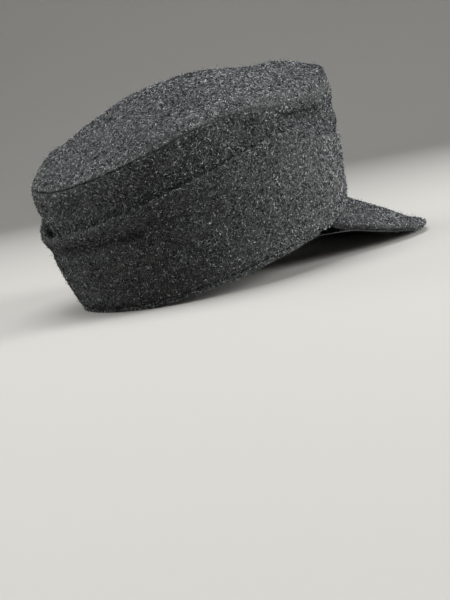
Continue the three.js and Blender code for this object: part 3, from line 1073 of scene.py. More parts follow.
@dataclass(frozen=True)
class Nap:
    """The loose fibres on a panel, each a closed sliver bent once.

    A fibre is drawn as thick as a tuft of about ten real ones, to show at all. Within combed_mm of
    the patch's last row the fibres lie along it, so that they leave a seam open. A few stray ones
    stand up.
    """

    # The colour attribute holds each fibre's dye with its painted light and shade.
    DYE_AND_PAINTED_LIGHT = "dye"

    count: int
    length_mm: float = 2.5
    lengths: Spread = Spread(0.4, 1.6)
    width_mm: float = 0.34
    widths: Spread = Spread(0.55, 1.45)
    height_mm: float = 0.5
    heights: Spread = Spread(0.3, 1.7)
    stray: float = 0.09
    stray_height_mm: float = 0.8
    stray_width: float = 0.6
    stray_tips: Spread = Spread(0.4, 1.8)
    steepest: float = 0.8
    bend_at: float = 0.45
    tip_at: float = 0.9
    root_depth_mm: float = 0.1
    tip_depth_mm: float = 0.05
    curl: float = 0.28
    combed_mm: float = 0.0
    comb_strength: float = 1.6
    combed_height: float = 0.4
    combed_curl: float = 0.3
    # A ramp of painted light: the fibres darker at the rear of the cap and paler at its front.
    painted_light_ramp: float = 0.0
    # The brightness is the fibres' own tone, and its difference from panel to panel is painted
    # light and shade.
    brightness: float = 1.2
    tones: Spread = Spread(0.75, 1.25)
    most_light: float = 0.95
    seed: int = SEED

    def build(self, name: str, patch: Array, slot: str, joined: bool = False) -> None:
        """Strews fibres over a patch of cloth.

        Args:
            name: the piece's name.
            patch: the patch as a grid of points in the cap's own frame.
            slot: the record's material slot.
            joined: whether the patch's last column meets its first.
        """
        rng = np.random.default_rng(self.seed)
        each = (self.count, 1)
        normals = grid_normals(patch, joined)
        if joined:
            patch = np.concatenate([patch, patch[:1]])
            normals = np.concatenate([normals, normals[:1]])
        root, normal, tangent, combed = self.strew(rng, patch, normals)
        side = np.cross(normal, tangent)
        length = self.length_mm * rng.uniform(*self.lengths, each)
        stands = rng.random(each) < self.stray
        height = self.height_mm * rng.uniform(*self.heights, each)
        height = height + stands * rng.exponential(self.stray_height_mm, each)
        height = np.minimum(height, self.steepest * length)
        height = height * (1 - (1 - self.combed_height) * combed)
        curl = self.curl * length * rng.normal(0.0, 1.0, each)
        curl = curl * (1 - (1 - self.combed_curl) * combed)
        middle = root + tangent * length * self.bend_at + normal * height + side * curl
        tip_height = height * rng.uniform(*self.stray_tips, each)
        tip_height = np.where(stands, tip_height, -self.tip_depth_mm)
        tip = root + tangent * length * self.tip_at + normal * tip_height
        half = self.width_mm / 2 * rng.uniform(*self.widths, each)
        half = np.where(stands, half * self.stray_width, half)
        ring = [
            middle + (side * math.cos(turn) + normal * math.sin(turn)) * half
            for turn in (0.0, 2 * math.pi / 3, 4 * math.pi / 3)
        ]
        points = np.stack([root - normal * self.root_depth_mm, *ring, tip], axis=1)
        first = np.arange(self.count)[:, None, None] * points.shape[1]
        sliver = np.array([[0, 2, 1], [0, 3, 2], [0, 1, 3], [4, 1, 2], [4, 2, 3], [4, 3, 1]])
        self.piece(name, points, (first + sliver).reshape(-1, 3), rng, slot)

    def strew(self, rng: np.random.Generator, patch: Array, normals: Array) -> tuple[Array, ...]:
        """Chooses where fibres stand, evenly over the patch's area.

        Args:
            rng: the source of chance.
            patch: the patch as a grid of points.
            normals: a unit normal for each point.

        Returns:
            Each fibre's root, the cloth's normal there, the way in which it lies, and how much it
            is combed along the last row.
        """
        across = np.diff(patch, axis=0)[:, :-1]
        along = np.diff(patch, axis=1)[:-1]
        area = np.linalg.norm(np.cross(across, along), axis=-1)
        share = area.ravel() / area.sum()
        cell = rng.choice(share.size, size=self.count, p=share)
        i, j = np.unravel_index(cell, area.shape)
        s = rng.uniform(size=self.count)[:, None]
        t = rng.uniform(size=self.count)[:, None]
        root, normal = (
            values[i, j] * (1 - s) * (1 - t)
            + values[i + 1, j] * s * (1 - t)
            + values[i, j + 1] * (1 - s) * t
            + values[i + 1, j + 1] * s * t
            for values in (patch, normals)
        )
        normal = normal / np.linalg.norm(normal, axis=-1, keepdims=True)
        chance = rng.normal(size=(self.count, 3))
        step = along[i, j]
        way = step / np.maximum(np.linalg.norm(step, axis=-1, keepdims=True), TINY)
        near = to_last_row(patch)[i, j] / max(self.combed_mm, TINY)
        combed = np.clip(self.comb_strength * (1 - near), 0, 1)[:, None]
        chance = chance - combed * (chance * way).sum(-1, keepdims=True) * way
        tangent = chance - (chance * normal).sum(-1, keepdims=True) * normal
        tangent = tangent / np.linalg.norm(tangent, axis=-1, keepdims=True)
        return root, normal, tangent, combed

    def piece(
        self, name: str, points: Array, faces: Array, rng: np.random.Generator, slot: str
    ) -> None:
        """Makes the piece and gives each fibre its dye, with painted light and shade in it.

        Args:
            name: the piece's name.
            points: the corners of each fibre.
            faces: rows of vertex numbers.
            rng: the source of chance.
            slot: the record's material slot; not used.
        """
        mesh = bpy.data.meshes.new(name)
        stood = set_down(points)
        mesh.from_pydata(stood.reshape(-1, 3).tolist(), [], faces.tolist())
        dyes = np.array([srgb(dye.colour) for dye in HEATHER])
        shares = np.array([dye.share for dye in HEATHER])
        chosen = rng.choice(len(HEATHER), size=self.count, p=shares / shares.sum())
        # Painted light: each fibre darker at the rear of the cap and paler at its front, as the
        # light falls.
        to_front = smoothstep(-stood[:, 0, 1:2], -PAINTED_LIGHT_REAR * MM, -PAINTED_LIGHT_FRONT * MM)
        painted_light = self.brightness * (1 + self.painted_light_ramp * (2 * to_front - 1))
        colours = dyes[chosen] * rng.uniform(*self.tones, (self.count, 1)) * painted_light
        colours = np.minimum(colours, self.most_light)
        colours[:, 3] = 1.0
        layer = mesh.color_attributes.new(self.DYE_AND_PAINTED_LIGHT, "FLOAT_COLOR", "POINT")
        layer.data.foreach_set("color", np.repeat(colours, points.shape[1], axis=0).ravel())
        mesh.shade_smooth()
        finish_piece(new_object(name, mesh), Cloth.FIBRE)


@dataclass(frozen=True)
class Panel:
    """A panel of cloth: the solid that it stands for, its finish, its lumps and its nap."""

    node: str
    slot: str
    finish: Cloth
    lumps: tuple[Lumps, ...]
    nap: Nap

    def unevenness(self, points: Array) -> Array:
        """Small lumps and dips of the panel, in millimetres, from its points."""
        return sum(lump.at(points) for lump in self.lumps)

    def sew(self, loops: Array, shown: Array, joined: bool = False) -> None:
        """Makes the panel's cloth and strews its nap.

        Args:
            loops: columns of points round the head, each a closed loop round the cloth.
            shown: the patch that has the nap, as a grid of points.
            joined: whether the last column meets the first.
        """
        piece = loft(self.node + "_cloth", loops, joined)
        finish_piece(piece, self.finish, [self.node])
        self.nap.build(self.node + "_nap", shown, self.slot, joined)


@dataclass(frozen=True)
class TopSeam:
    """The seam between the crown and its top: stitches draw it in between two soft shoulders."""

    gap: float = 0.3
    face_inward: float = 2.3
    face_down: float = 1.7
    down: float = 0.2
    reach: float = 9.5
    ditch: float = 1.5
    ditch_depth: float = 2.6
    front_ditch: float = 0.3
    ditch_angles: tuple[float, float] = (60.0, 120.0)
    slack: tuple[float, float] = (1.0, 9.0)
    pucker: Lumps = Lumps(0.3, 8.0, 2.7)
    stitches: Lumps = Lumps(0.6, 5.0, 9.2)

    def heights(self, angle: Array) -> Array:
        """How high the seam runs at each angle."""
        return by_angle(SEAM_HEIGHTS, angle)

    def out(self, angle: Array) -> Array:
        """The level way out of the wall at the seam."""
        row = CROWN_WALL[-1]
        return Ring(row.half_length, row.half_width).outward(angle)

    def inset(self, angle: Array) -> Array:
        """The way from the outside to the inside where both walls end at the seam.

        Args:
            angle: angles round the head.

        Returns:
            A vector for each angle, in millimetres.
        """
        inset = self.out(angle) * -self.face_inward
        inset[..., 2] = -self.face_down
        return inset

    def free(self, distance: Array) -> Array:
        """How free of the seam the cloth is, from 0 to 1, at a distance from it."""
        return smoothstep(distance, *self.slack)

    def draw(self, angle: Array, distance: Array) -> Array:
        """How the stitches move the cloth near the seam.

        Args:
            angle: angles round the head.
            distance: how far each place is from the seam along the cloth.

        Returns:
            The move of each place.
        """
        near = np.clip(1 - distance / self.reach, 0, 1) ** 2
        inward = by_angle(SEAM_DRAW, angle) * near * (1 + self.pucker.round_head(angle))
        move = self.out(angle) * -inward[..., None]
        move[..., 2] -= self.down * near
        return move

    def groove(self, angle: Array, distance: Array) -> Array:
        """How the stitches sink both edges of the seam, which leaves a narrow groove.

        Args:
            angle: angles round the head.
            distance: how far each place is from the seam along the cloth.

        Returns:
            The move of each place.
        """
        near = np.clip(1 - distance / self.ditch, 0, 1) ** 2
        behind = smoothstep(from_front(angle), *self.ditch_angles)
        depth = self.ditch_depth * (self.front_ditch + (1 - self.front_ditch) * behind)
        sunk = depth * near * (1 + self.stitches.round_head(angle))
        inset = self.inset(angle)
        return inset / np.linalg.norm(inset, axis=-1, keepdims=True) * sunk[..., None]


@dataclass(frozen=True)
class CrownPanel(Panel):
    """A panel of the crown, whose last row lies along the top seam."""

    seam_turn: tuple[float, float]
    cloth: float = 2.5
    seam: TopSeam = TopSeam()
    columns: int = 320
    row_ease: float = 1.35
    inner_rows: int = 14

    def normals(self, points: Array) -> Array:
        """Unit normals of the panel's grid of points."""
        return grid_normals(points, joined=True)

    def stitch(
        self, plain: Array, angle: Array, share: Array, to_seam: Array, move: Array, bare: int
    ) -> None:
        """Slumps the panel, draws it in at the seam, gives it an inside and sews it.

        Args:
            plain: the outside without its slumps, as a grid of points.
            angle: each point's angle round the head.
            share: its share of the way to the seam.
            to_seam: how far it is from the seam along the cloth.
            move: how far it slumps, outwards.
            bare: how many rows at the start have no nap.
        """
        skin = plain + self.seam.draw(angle, to_seam) + self.normals(plain) * move[..., None]
        outside = skin + self.seam.groove(angle, to_seam)
        picks = every_few(share.shape[1], self.inner_rows)
        turn = smoothstep(share[:, picks], *self.seam_turn)[..., None]
        even = self.normals(skin)[:, picks] * -self.cloth
        inset = self.seam.inset(angle[:, picks])
        inside = skin[:, picks] + even * (1 - turn) + inset * turn
        loops = np.concatenate([outside, inside[:, ::-1]], axis=1)
        self.sew(loops, outside[:, bare:-2], joined=True)


@dataclass(frozen=True)
class CrownSide(CrownPanel):
    """The upright wall of the crown, from the rim to the top seam."""

    node: str = "crown_side"
    slot: str = "side_wool"
    finish: Cloth = Cloth.SIDE
    lumps: tuple[Lumps, ...] = (Lumps(0.75, 27.0, 3.1, 1.7), Lumps(0.3, 9.0, 8.7))
    nap: Nap = Nap(count=33000, combed_mm=2.1, painted_light_ramp=0.14, brightness=1.2, seed=SEED + 1)
    seam_turn: tuple[float, float] = (0.9, 0.96)
    rows: int = 58
    lean_reach: float = 14.0
    uneven_from: tuple[float, float] = (0.35, 0.5)
    crease_slack: tuple[float, float] = (0.5, 4.0)
    nap_from: float = 0.42

    def surface(self, angle: Array, share: Array) -> Array:
        """The outside of the wall.

        Args:
            angle: angles round the head.
            share: shares of the way from the rim to the seam.

        Returns:
            Points along the last axis.
        """
        ring = wall_ring(CROWN_WALL, share)
        height = self.seam.heights(angle) * share
        depth = fold_depth(CROWN_FOLDS, angle, height)
        return ring.point(angle, height) + ring.outward(angle) * depth[..., None]

    def build(self) -> None:
        """Builds the wall and its nap."""
        shares = eased(self.rows, self.row_ease)
        angle, share = grid(np.linspace(0, 360, self.columns, endpoint=False), shares)
        plain = self.surface(angle, share)
        plain[..., 2] -= self.seam.gap / 2 * share
        to_seam = (1 - share) * self.seam.heights(angle)
        creases = fold_depth(CROWN_CREASES, angle, plain[..., 2])
        creases = creases * smoothstep(to_seam, *self.crease_slack)
        move = self.unevenness(plain) * self.seam.free(to_seam) + creases
        move = move * smoothstep(share, *self.uneven_from) + self.lean(angle, plain[..., 2])
        bare = int(np.searchsorted(shares, self.nap_from))
        self.stitch(plain, angle, share, to_seam, move, bare)

    def lean(self, angle: Array, height: Array) -> Array:
        """How far the wall leans out against the flap's edge.

        Args:
            angle: angles round the head.
            height: heights above the rim.

        Returns:
            The move of each place.
        """
        near = bell((height - by_angle(FLAP_TOP, angle)) / self.lean_reach)
        return SmoothTable(CROWN_LEAN)(half_turns(angle)) * near


@dataclass(frozen=True)
class CrownTop(CrownPanel):
    """The domed oval panel of the top."""

    node: str = "crown_top"
    slot: str = "top_wool"
    finish: Cloth = Cloth.TOP
    lumps: tuple[Lumps, ...] = (Lumps(0.8, 32.0, 5.3), Lumps(0.3, 11.0, 2.9))
    nap: Nap = Nap(count=33000, combed_mm=2.1, painted_light_ramp=-0.12, brightness=1.1, seed=SEED + 2)
    seam_turn: tuple[float, float] = (0.94, 1.0)
    rows: int = 62
    bare_rows: int = 1
    side: CrownSide = CrownSide()
    corner_angle: float = 42.0
    corner_spread: float = 26.0
    corner_share: float = 0.93
    corner_share_spread: float = 0.06
    corner_swell: float = 3.4
    front_puff: float = 2.2
    front_place: float = 7.0
    front_reach: float = 6.0
    front_rise: float = 4.0
    shoulder_puff: float = 2.3
    shoulder_angles: tuple[float, float] = (60.0, 100.0)
    shoulder_place: float = 10.0
    shoulder_reach: float = 6.5
    shoulder_rise: float = 8.0
    pucker_place: tuple[float, float, float] = (19.7, 104.3, 91.2)
    pucker_ring: float = 4.2
    pucker_rim: float = 0.4
    pucker_rise: float = 2.3
    pucker_pit: float = 0.5
    pucker_depth: float = 4.6

    def to_corner(self, angle: Array) -> Array:
        """How far each angle is from the front corners, in units of their spread."""
        return (from_front(angle) - self.corner_angle) / self.corner_spread

    def surface(self, angle: Array, share: Array) -> Array:
        """The outside of the panel.

        Args:
            angle: angles round the head.
            share: shares of the way from the middle to the seam.

        Returns:
            Points along the last axis.
        """
        seam_row = CROWN_WALL[-1]
        edge = self.side.surface(angle, np.ones_like(share))
        place = share * (edge[..., 1] - seam_row.shift) / seam_row.half_length
        spine = SmoothTable(TOP_SPINE)(place)
        fall = share ** by_angle(TOP_FULLNESS, angle)
        above = (share - self.corner_share) / self.corner_share_spread
        held = np.minimum((1 - share) / (1 - self.corner_share), 1)
        swell = self.corner_swell * held * bell(self.to_corner(angle), above)
        radius = share + swell / WALL_RADIUS
        return np.stack(
            [
                radius * edge[..., 0],
                seam_row.shift + radius * (edge[..., 1] - seam_row.shift),
                spine * (1 - fall) + edge[..., 2] * fall,
            ],
            axis=-1,
        )

    def build(self) -> None:
        """Builds the panel and its nap."""
        angles = -np.linspace(0, 360, self.columns, endpoint=False)
        angle, share = grid(angles, eased(self.rows, self.row_ease))
        plain = self.surface(angle, share)
        plain[..., 2] += self.seam.gap * share
        to_seam = to_last_row(plain)
        free = self.seam.free(to_seam)
        move = self.unevenness(plain) * free + self.puff(angle, to_seam)
        move = move + top_fold_depth(TOP_CREASES, plain) * free + self.pucker(plain)
        self.stitch(plain, angle, share, to_seam, move, self.bare_rows)

    def normals(self, points: Array) -> Array:
        """Unit normals of the panel, the same for all points of its middle.

        Args:
            points: the panel's grid.

        Returns:
            A unit normal for each point.
        """
        normals = grid_normals(points, joined=True)
        middle = normals[:, 1].mean(axis=0)
        normals[:, 0] = middle / np.linalg.norm(middle)
        return normals

    def puff(self, angle: Array, to_seam: Array) -> Array:
        """How far the panel swells over its sides, rear and front corners, above the seam.

        Args:
            angle: angles round the head.
            to_seam: how far each place is from the seam along the cloth.

        Returns:
            The swell of each place.
        """
        behind = smoothstep(from_front(angle), *self.shoulder_angles)
        rear = self.shoulder_puff * behind * smoothstep(to_seam, 0.0, self.shoulder_rise)
        rear = rear * bell((to_seam - self.shoulder_place) / self.shoulder_reach)
        above = (to_seam - self.front_place) / self.front_reach
        ahead = self.front_puff * bell(self.to_corner(angle), above)
        return rear + ahead * smoothstep(to_seam, 0.0, self.front_rise)

    def pucker(self, points: Array) -> Array:
        """The small ring of puckered cloth where the seam's ends meet at the rear.

        Args:
            points: points of the panel.

        Returns:
            The move of each point.
        """
        away = np.linalg.norm(points - np.array(self.pucker_place), axis=-1) / self.pucker_ring
        rim = self.pucker_rise * bell((away - 1) / self.pucker_rim)
        return rim - self.pucker_depth * bell(away / self.pucker_pit)


@dataclass(frozen=True)
class TurnUp(Panel):
    """The flap turned up all round, whose left end lies over the right one in front."""

    node: str = "turn_up"
    slot: str = "flap_wool"
    finish: Cloth = Cloth.FLAP
    lumps: tuple[Lumps, ...] = (Lumps(0.8, 30.0, 1.7), Lumps(0.32, 10.0, 6.1))
    nap: Nap = Nap(count=33000, painted_light_ramp=0.42, brightness=1.26, seed=SEED + 3)
    cloth: float = 3.0
    overlap: float = 9.0
    lift: float = 3.5
    lift_from: float = 38.0
    lift_full: float = 13.0
    corner: float = 9.0
    flare: float = 1.4
    flare_sharpness: float = 7.0
    lean_sharpness: float = 3.5
    edge_waves: tuple[Lumps, ...] = (Lumps(0.9, 38.0, 6.6), Lumps(0.3, 13.0, 1.9))
    wave_from: float = 0.3
    fold_held: float = 0.1
    edge_held_from: float = 0.85
    edge_hold: float = 0.5
    swell_from: float = 0.8
    edge: Edge = Edge(1.0, 8)
    rear_sag: float = 5.5
    sag_angle: float = -203.0
    sag_spread: float = 16.0
    columns: int = 400
    end_ease: float = 1.04
    rows: int = 50
    inner_rows: int = 14

    def surface(self, angle: Array, share: Array) -> Array:
        """The outside of the flap.

        Args:
            angle: angles that run on past a full turn where the ends cross.
            share: shares of the way from the fold to the upper edge.

        Returns:
            Points along the last axis.
        """
        end = -360 - self.overlap
        from_end = np.radians(np.minimum(self.overlap - angle, angle - end)) * WALL_RADIUS
        cut = np.clip(1 - from_end / self.corner, 0, 1)
        corner = self.corner * (1 - np.sqrt(1 - cut * cut))
        roll = self.cloth / 2
        low = by_angle(FLAP_FOLD, angle) + roll
        high = by_angle(FLAP_TOP, angle) - roll - corner
        height = low + (high - low) * share
        stand = (
            fold_depth(FLAP_FOLDS, angle, height)
            + self.lift * smoothstep(-360 - angle, -self.lift_from, -self.lift_full)
            + self.flare * share**self.flare_sharpness
        )
        ring = wall_ring(FLAP_WALL, share)
        return ring.point(angle, height) + ring.outward(angle) * stand[..., None]

    def build(self) -> None:
        """Builds the flap and its nap."""
        end = -360 - self.overlap
        reach = np.linspace(-1, 1, self.columns)
        drawn = np.sign(reach) * (1 - (1 - np.abs(reach)) ** self.end_ease)
        angles = (end + self.overlap) / 2 + drawn * (self.overlap - end) / 2
        angle, share = grid(angles, np.linspace(0, 1, self.rows))
        plain = self.surface(angle, share)
        wave = sum(wave.round_head(angle) for wave in self.edge_waves)
        left_rear = self.rear_sag * bell((angle - self.sag_angle) / self.sag_spread)
        plain[..., 2] += (wave - left_rear) * smoothstep(share, self.wave_from, 1.0)
        lean = by_angle(FLAP_EDGE_LEAN, angle) * share**self.lean_sharpness
        plain = plain - wall_ring(FLAP_WALL, share).outward(angle) * lean[..., None]
        held = self.edge_hold * smoothstep(share, self.edge_held_from, 1.0)
        free = smoothstep(share, 0.0, self.fold_held) * (1 - held)
        move = (self.unevenness(plain) + fold_depth(FLAP_CREASES, angle, plain[..., 2])) * free
        outside = plain + grid_normals(plain, joined=False) * move[..., None]
        picks = every_few(self.rows, self.inner_rows)
        swell = by_angle(FLAP_EDGE_SWELL, angle[:, picks])
        thick = self.cloth + swell * smoothstep(share[:, picks], self.swell_from, 1.0)
        normals = grid_normals(outside, joined=False)[:, picks]
        inside = outside[:, picks] - normals * thick[..., None]
        loops, over, under = close_wall(outside, inside, self.edge, self.edge)
        half = self.edge.rows // 2
        shown = np.concatenate([under[:, half:], outside, over[:, : half + 2]], axis=1)
        self.sew(loops, shown)


@dataclass(frozen=True)
class RimHem(Panel):
    """The narrow hem below the flap's fold."""

    node: str = "rim_hem"
    slot: str = "hem_wool"
    finish: Cloth = Cloth.HEM
    lumps: tuple[Lumps, ...] = (Lumps(0.25, 6.0, 4.4),)
    nap: Nap = Nap(count=1600, length_mm=2.2, seed=SEED + 4)
    cloth: float = 2.0
    ring: Ring = Ring(107.9, 87.2)
    height: float = 3.1
    end_angle: float = 80.0
    edge: Edge = Edge(0.5, 5)
    columns: int = 240
    rows: int = 6

    def roll(self) -> float:
        """How much of the hem's height its rounded edge takes up."""
        return self.cloth / 2 * self.edge.roundness

    def build(self) -> None:
        """Builds the hem and its nap."""
        angles = np.linspace(self.end_angle, 360 - self.end_angle, self.columns)
        angle, share = grid(angles, np.linspace(0, 1, self.rows))
        height = self.roll() + (self.height - 2 * self.roll()) * share
        plain = self.ring.point(angle, height)
        normals = grid_normals(plain, joined=False)
        outside = plain + normals * self.unevenness(plain)[..., None]
        inside = plain - normals * self.cloth
        loops, _, _ = close_wall(outside, inside, self.edge, self.edge)
        self.sew(loops, outside)


@dataclass(frozen=True)
class PeakLayer(Panel):
    """One layer of the peak: how deep it starts, how thick it is, and how far its edge is in.

    Its edge may draw further in at the sides than in front. The lumps of its two faces are shares
    of the panel's own.
    """

    from_depth: float
    thickness: float
    upper_lumps: float
    lower_lumps: float
    edge_inset: float
    edge_share: float
    side_inset: float
    first_share: float
    edge_bead: float
    edge: Edge
    columns: int
    rows: int


PEAK_LUMPS = (Lumps(0.35, 22.0, 7.9), Lumps(0.2, 8.0, 3.3))


@dataclass(frozen=True)
class Peak:
    """The stiff peak: a covered board above and a facing below."""

    corner_angle: float = 69.0
    root: Ring = Ring(108.3, 87.5)
    reach: float = 68.0
    rise: float = 4.6
    front_drop: float = 50.5
    side_drop: float = 68.0
    side_swell: float = 15.0
    squareness: float = 2.5
    droop_power: float = 0.8
    arch: float = 1.2
    tongue: Ring = Ring(107.2, 86.5)
    tongue_share: float = 0.05
    tongue_lift: float = 0.2
    end: float = 0.985
    bead_reach: float = 12.0
    held_at_root: tuple[float, float] = (0.12, 0.25)
    inset_sides: tuple[float, float] = (0.4, 0.8)
    clear: float = 0.01
    row_ease: float = 1.4
    rear_edge: Edge = Edge(0.6, 3)
    cover: PeakLayer = PeakLayer(
        node="peak_top", slot="peak_wool", finish=Cloth.PEAK, lumps=PEAK_LUMPS,
        nap=Nap(count=12000, brightness=1.15, seed=SEED + 5), from_depth=0.0, thickness=2.2,
        upper_lumps=1.0, lower_lumps=0.0,
        edge_inset=0.0, edge_share=0.972, side_inset=0.0, first_share=0.0, edge_bead=2.4,
        edge=Edge(0.9, 7), columns=170, rows=46,
    )
    facing: PeakLayer = PeakLayer(
        node="peak_under", slot="peak_lining", finish=Cloth.FACING, lumps=PEAK_LUMPS,
        nap=Nap(count=5000, seed=SEED + 6), from_depth=3.5, thickness=1.4,
        upper_lumps=-0.8, lower_lumps=-0.4,
        edge_inset=0.012, edge_share=0.968, side_inset=0.03, first_share=0.1, edge_bead=0.0,
        edge=Edge(0.8, 7), columns=130, rows=24,
    )

    def surface(self, side: Array, share: Array) -> Array:
        """The upper face of the peak.

        Args:
            side: from -1 at one corner to 1 at the other.
            share: shares of the way from the tongue under the flap to the free edge.

        Returns:
            Points along the last axis.
        """
        angle = side * self.corner_angle
        height = self.rise * (1 - side * side)
        root = self.root.point(angle, height)
        tongue = self.tongue.point(angle, height + self.tongue_lift)
        corner = self.root.point(np.array(self.corner_angle), 0.0)
        turn = side * math.pi / 2
        ahead = np.abs(np.cos(turn))
        aside = np.abs(np.sin(turn))
        length = self.root.half_length + self.reach + corner[1]
        spread = corner[0] + self.side_swell * np.abs(np.sin(2 * turn))
        fall = (self.rise - self.front_drop) * ahead - self.side_drop * (1 - ahead)
        edge = np.stack(
            [
                spread * np.sign(side) * aside ** (2 / self.squareness),
                corner[1] - length * ahead ** (2 / self.squareness),
                ahead**self.droop_power * fall,
            ],
            axis=-1,
        )
        in_tongue = np.clip(share / self.tongue_share, 0, 1)[..., None]
        t = np.clip((share - self.tongue_share) / (1 - self.tongue_share), 0, 1)
        arch = self.arch * 4 * t * (1 - t) * ahead
        free = root + (edge - root) * t[..., None]
        free[..., 2] += arch
        held = tongue + (root - tongue) * in_tongue
        return np.where((share < self.tongue_share)[..., None], held, free)

    def build(self) -> None:
        """Builds both layers with their nap."""
        self.layer(self.cover)
        self.layer(self.facing)

    def layer(self, made: PeakLayer) -> None:
        """Builds one layer.

        Args:
            made: which layer.
        """
        end = self.end - made.edge_inset
        sides = np.linspace(end, -end, made.columns)
        shares = made.first_share + (1 - made.first_share) * eased(made.rows, self.row_ease)
        side, share = grid(sides, shares)
        sides_in = made.side_inset * smoothstep(np.abs(side), *self.inset_sides)
        share = share * (made.edge_share - sides_in)
        face = self.surface(side, share)
        past_tongue = np.maximum(share, self.tongue_share + 3 * self.clear)
        down = -self.up(np.clip(side, self.clear - end, end - self.clear), past_tongue)
        to_edge = np.linalg.norm(face - face[:, -1:], axis=-1)
        bead = made.edge_bead * np.clip(1 - to_edge / self.bead_reach, 0, 1)
        free = smoothstep(share, *self.held_at_root)
        uneven = made.unevenness(face) * free
        top = face + down * made.from_depth
        base = top + down * made.thickness - down * (made.lower_lumps * uneven)[..., None]
        top = top - down * (made.upper_lumps * uneven + bead * free)[..., None]
        covers = made.from_depth == 0
        loops, over, _ = close_wall(top, base, made.edge, self.rear_edge)
        shown = [top, over] if covers else [over, base[:, ::-1]]
        made.sew(loops, np.concatenate(shown, axis=1))

    def up(self, side: Array, share: Array) -> Array:
        """The unit normal of the upper face, pointing up.

        Args:
            side: from -1 at one corner to 1 at the other.
            share: shares of the way to the free edge.

        Returns:
            Unit vectors along the last axis.
        """
        step = 0.005
        round_peak = self.surface(side - step, share) - self.surface(side + step, share)
        low = np.maximum(share - step, self.tongue_share + step)
        high = np.minimum(share + step, 1.0)
        outwards = self.surface(side, high) - self.surface(side, low)
        normal = np.cross(round_peak, outwards)
        return normal / np.linalg.norm(normal, axis=-1, keepdims=True)


class TurnedRing(NamedTuple):
    """A step of a turned face: its share of the disc's radius, and its rise in millimetres."""

    share: float
    rise: float


@dataclass(frozen=True)
class FrontButton:
    """The plain button on the flap's outer end: a turned disc with a groove round its dome."""

    node: str = "front_button"
    slot: str = "horn"
    radius: float = 7.5
    rim: float = 1.6
    height: float = 27.0
    gap: float = 0.3
    sides: int = 40
    base_bevel: float = 0.5
    base_within: float = 0.01
    profile: tuple[TurnedRing, ...] = (
        TurnedRing(0.94, 0.3),
        TurnedRing(0.84, 0.0),
        TurnedRing(0.79, -0.5),
        TurnedRing(0.74, 0.0),
        TurnedRing(0.66, 0.9),
        TurnedRing(0.45, 0.7),
        TurnedRing(0.2, 0.35),
    )

    def build(self) -> None:
        """Turns the button and sets it where its solid is."""
        bpy.ops.object.select_all(action="DESELECT")
        bpy.ops.mesh.primitive_cylinder_add(
            vertices=self.sides, radius=self.radius * MM, depth=self.rim * MM,
            location=(0, 0, self.rim * MM / 2), end_fill_type="NGON",
        )
        piece = bpy.context.object
        piece.name = self.node + "_turned"
        for ring in self.profile:
            self.draw_in(piece, ring)
        self.round_base(piece)
        soften = piece.modifiers.new("soften", "SUBSURF")
        soften.levels = 1
        soften.render_levels = 1
        bpy.ops.object.modifier_apply(modifier="soften")
        piece.data.shade_smooth()
        self.place(piece)
        piece.select_set(False)
        finish_piece(piece, Cloth.HORN, [self.node])

    def draw_in(self, piece: bpy.types.Object, ring: TurnedRing) -> None:
        """Extrudes the button's upper face and draws it in to a ring.

        Args:
            piece: the button, on its back round the origin.
            ring: the ring that the face ends on.
        """
        deselect_mesh("FACE")
        discs = [face for face in piece.data.polygons if len(face.vertices) == self.sides]
        upper = max(discs, key=lambda face: face.center.z)
        upper.select = True
        now = max(piece.data.vertices[i].co.xy.length for i in upper.vertices)
        scale = ring.share * self.radius * MM / now
        bpy.ops.object.mode_set(mode="EDIT")
        bpy.ops.mesh.extrude_region_move(
            TRANSFORM_OT_translate={"value": (0, 0, ring.rise * MM)}
        )
        bpy.ops.transform.resize(value=(scale, scale, 1.0))
        bpy.ops.object.mode_set(mode="OBJECT")

    def round_base(self, piece: bpy.types.Object) -> None:
        """Bevels the edge that lies on the cloth.

        Args:
            piece: the button.
        """
        deselect_mesh("EDGE")
        heights = [vertex.co.z for vertex in piece.data.vertices]
        for edge in piece.data.edges:
            edge.select = all(heights[i] < self.base_within * MM for i in edge.vertices)
        bpy.ops.object.mode_set(mode="EDIT")
        bpy.ops.mesh.bevel(offset=self.base_bevel * MM, segments=2)
        bpy.ops.object.mode_set(mode="OBJECT")

    def place(self, piece: bpy.types.Object) -> None:
        """Turns the button to face out of the cloth and moves it to its solid.

        Args:
            piece: the button, made on its back round the origin.
        """
        flap = TurnUp()
        low = FLAP_FOLD[0].value
        share = np.array([(self.height - low) / (FLAP_TOP[0].value - low)])
        step = 0.02
        front = np.array([-360.0])
        up_cloth = flap.surface(front, share + step) - flap.surface(front, share - step)
        round_head = flap.surface(front + 1, share) - flap.surface(front - 1, share)
        normal = np.cross(round_head, up_cloth)
        seat = flap.surface(front, share)
        foot = Vector(set_down(seat)[0])
        tip = Vector(set_down(seat + normal / np.linalg.norm(normal))[0])
        out = (tip - foot).normalized()
        turn = Vector((0, 0, 1)).rotation_difference(out).to_matrix().to_4x4()
        place = Matrix.Translation(foot + out * self.gap * MM)
        piece.data.transform(place @ turn)


@dataclass(frozen=True)
class SoftBox:
    """A soft studio light that looks at the cap. Its lengths are in metres."""

    name: str
    angle_deg: float
    height: float
    distance: float
    size: float
    watts: float

    def build(self, target: Vector) -> None:
        """Adds the light.

        Args:
            target: the point that it looks at.
        """
        data = bpy.data.lights.new(self.name, "AREA")
        data.shape = "DISK"
        data.size = self.size
        data.energy = self.watts
        light = new_object(self.name, data)
        turn = math.radians(self.angle_deg)
        way = Vector((math.sin(turn), -math.cos(turn), 0.0))
        light.location = target + way * self.distance + Vector((0, 0, self.height))
        light.rotation_euler = (light.location - target).to_track_quat("Z", "Y").to_euler()
        light.visible_camera = False


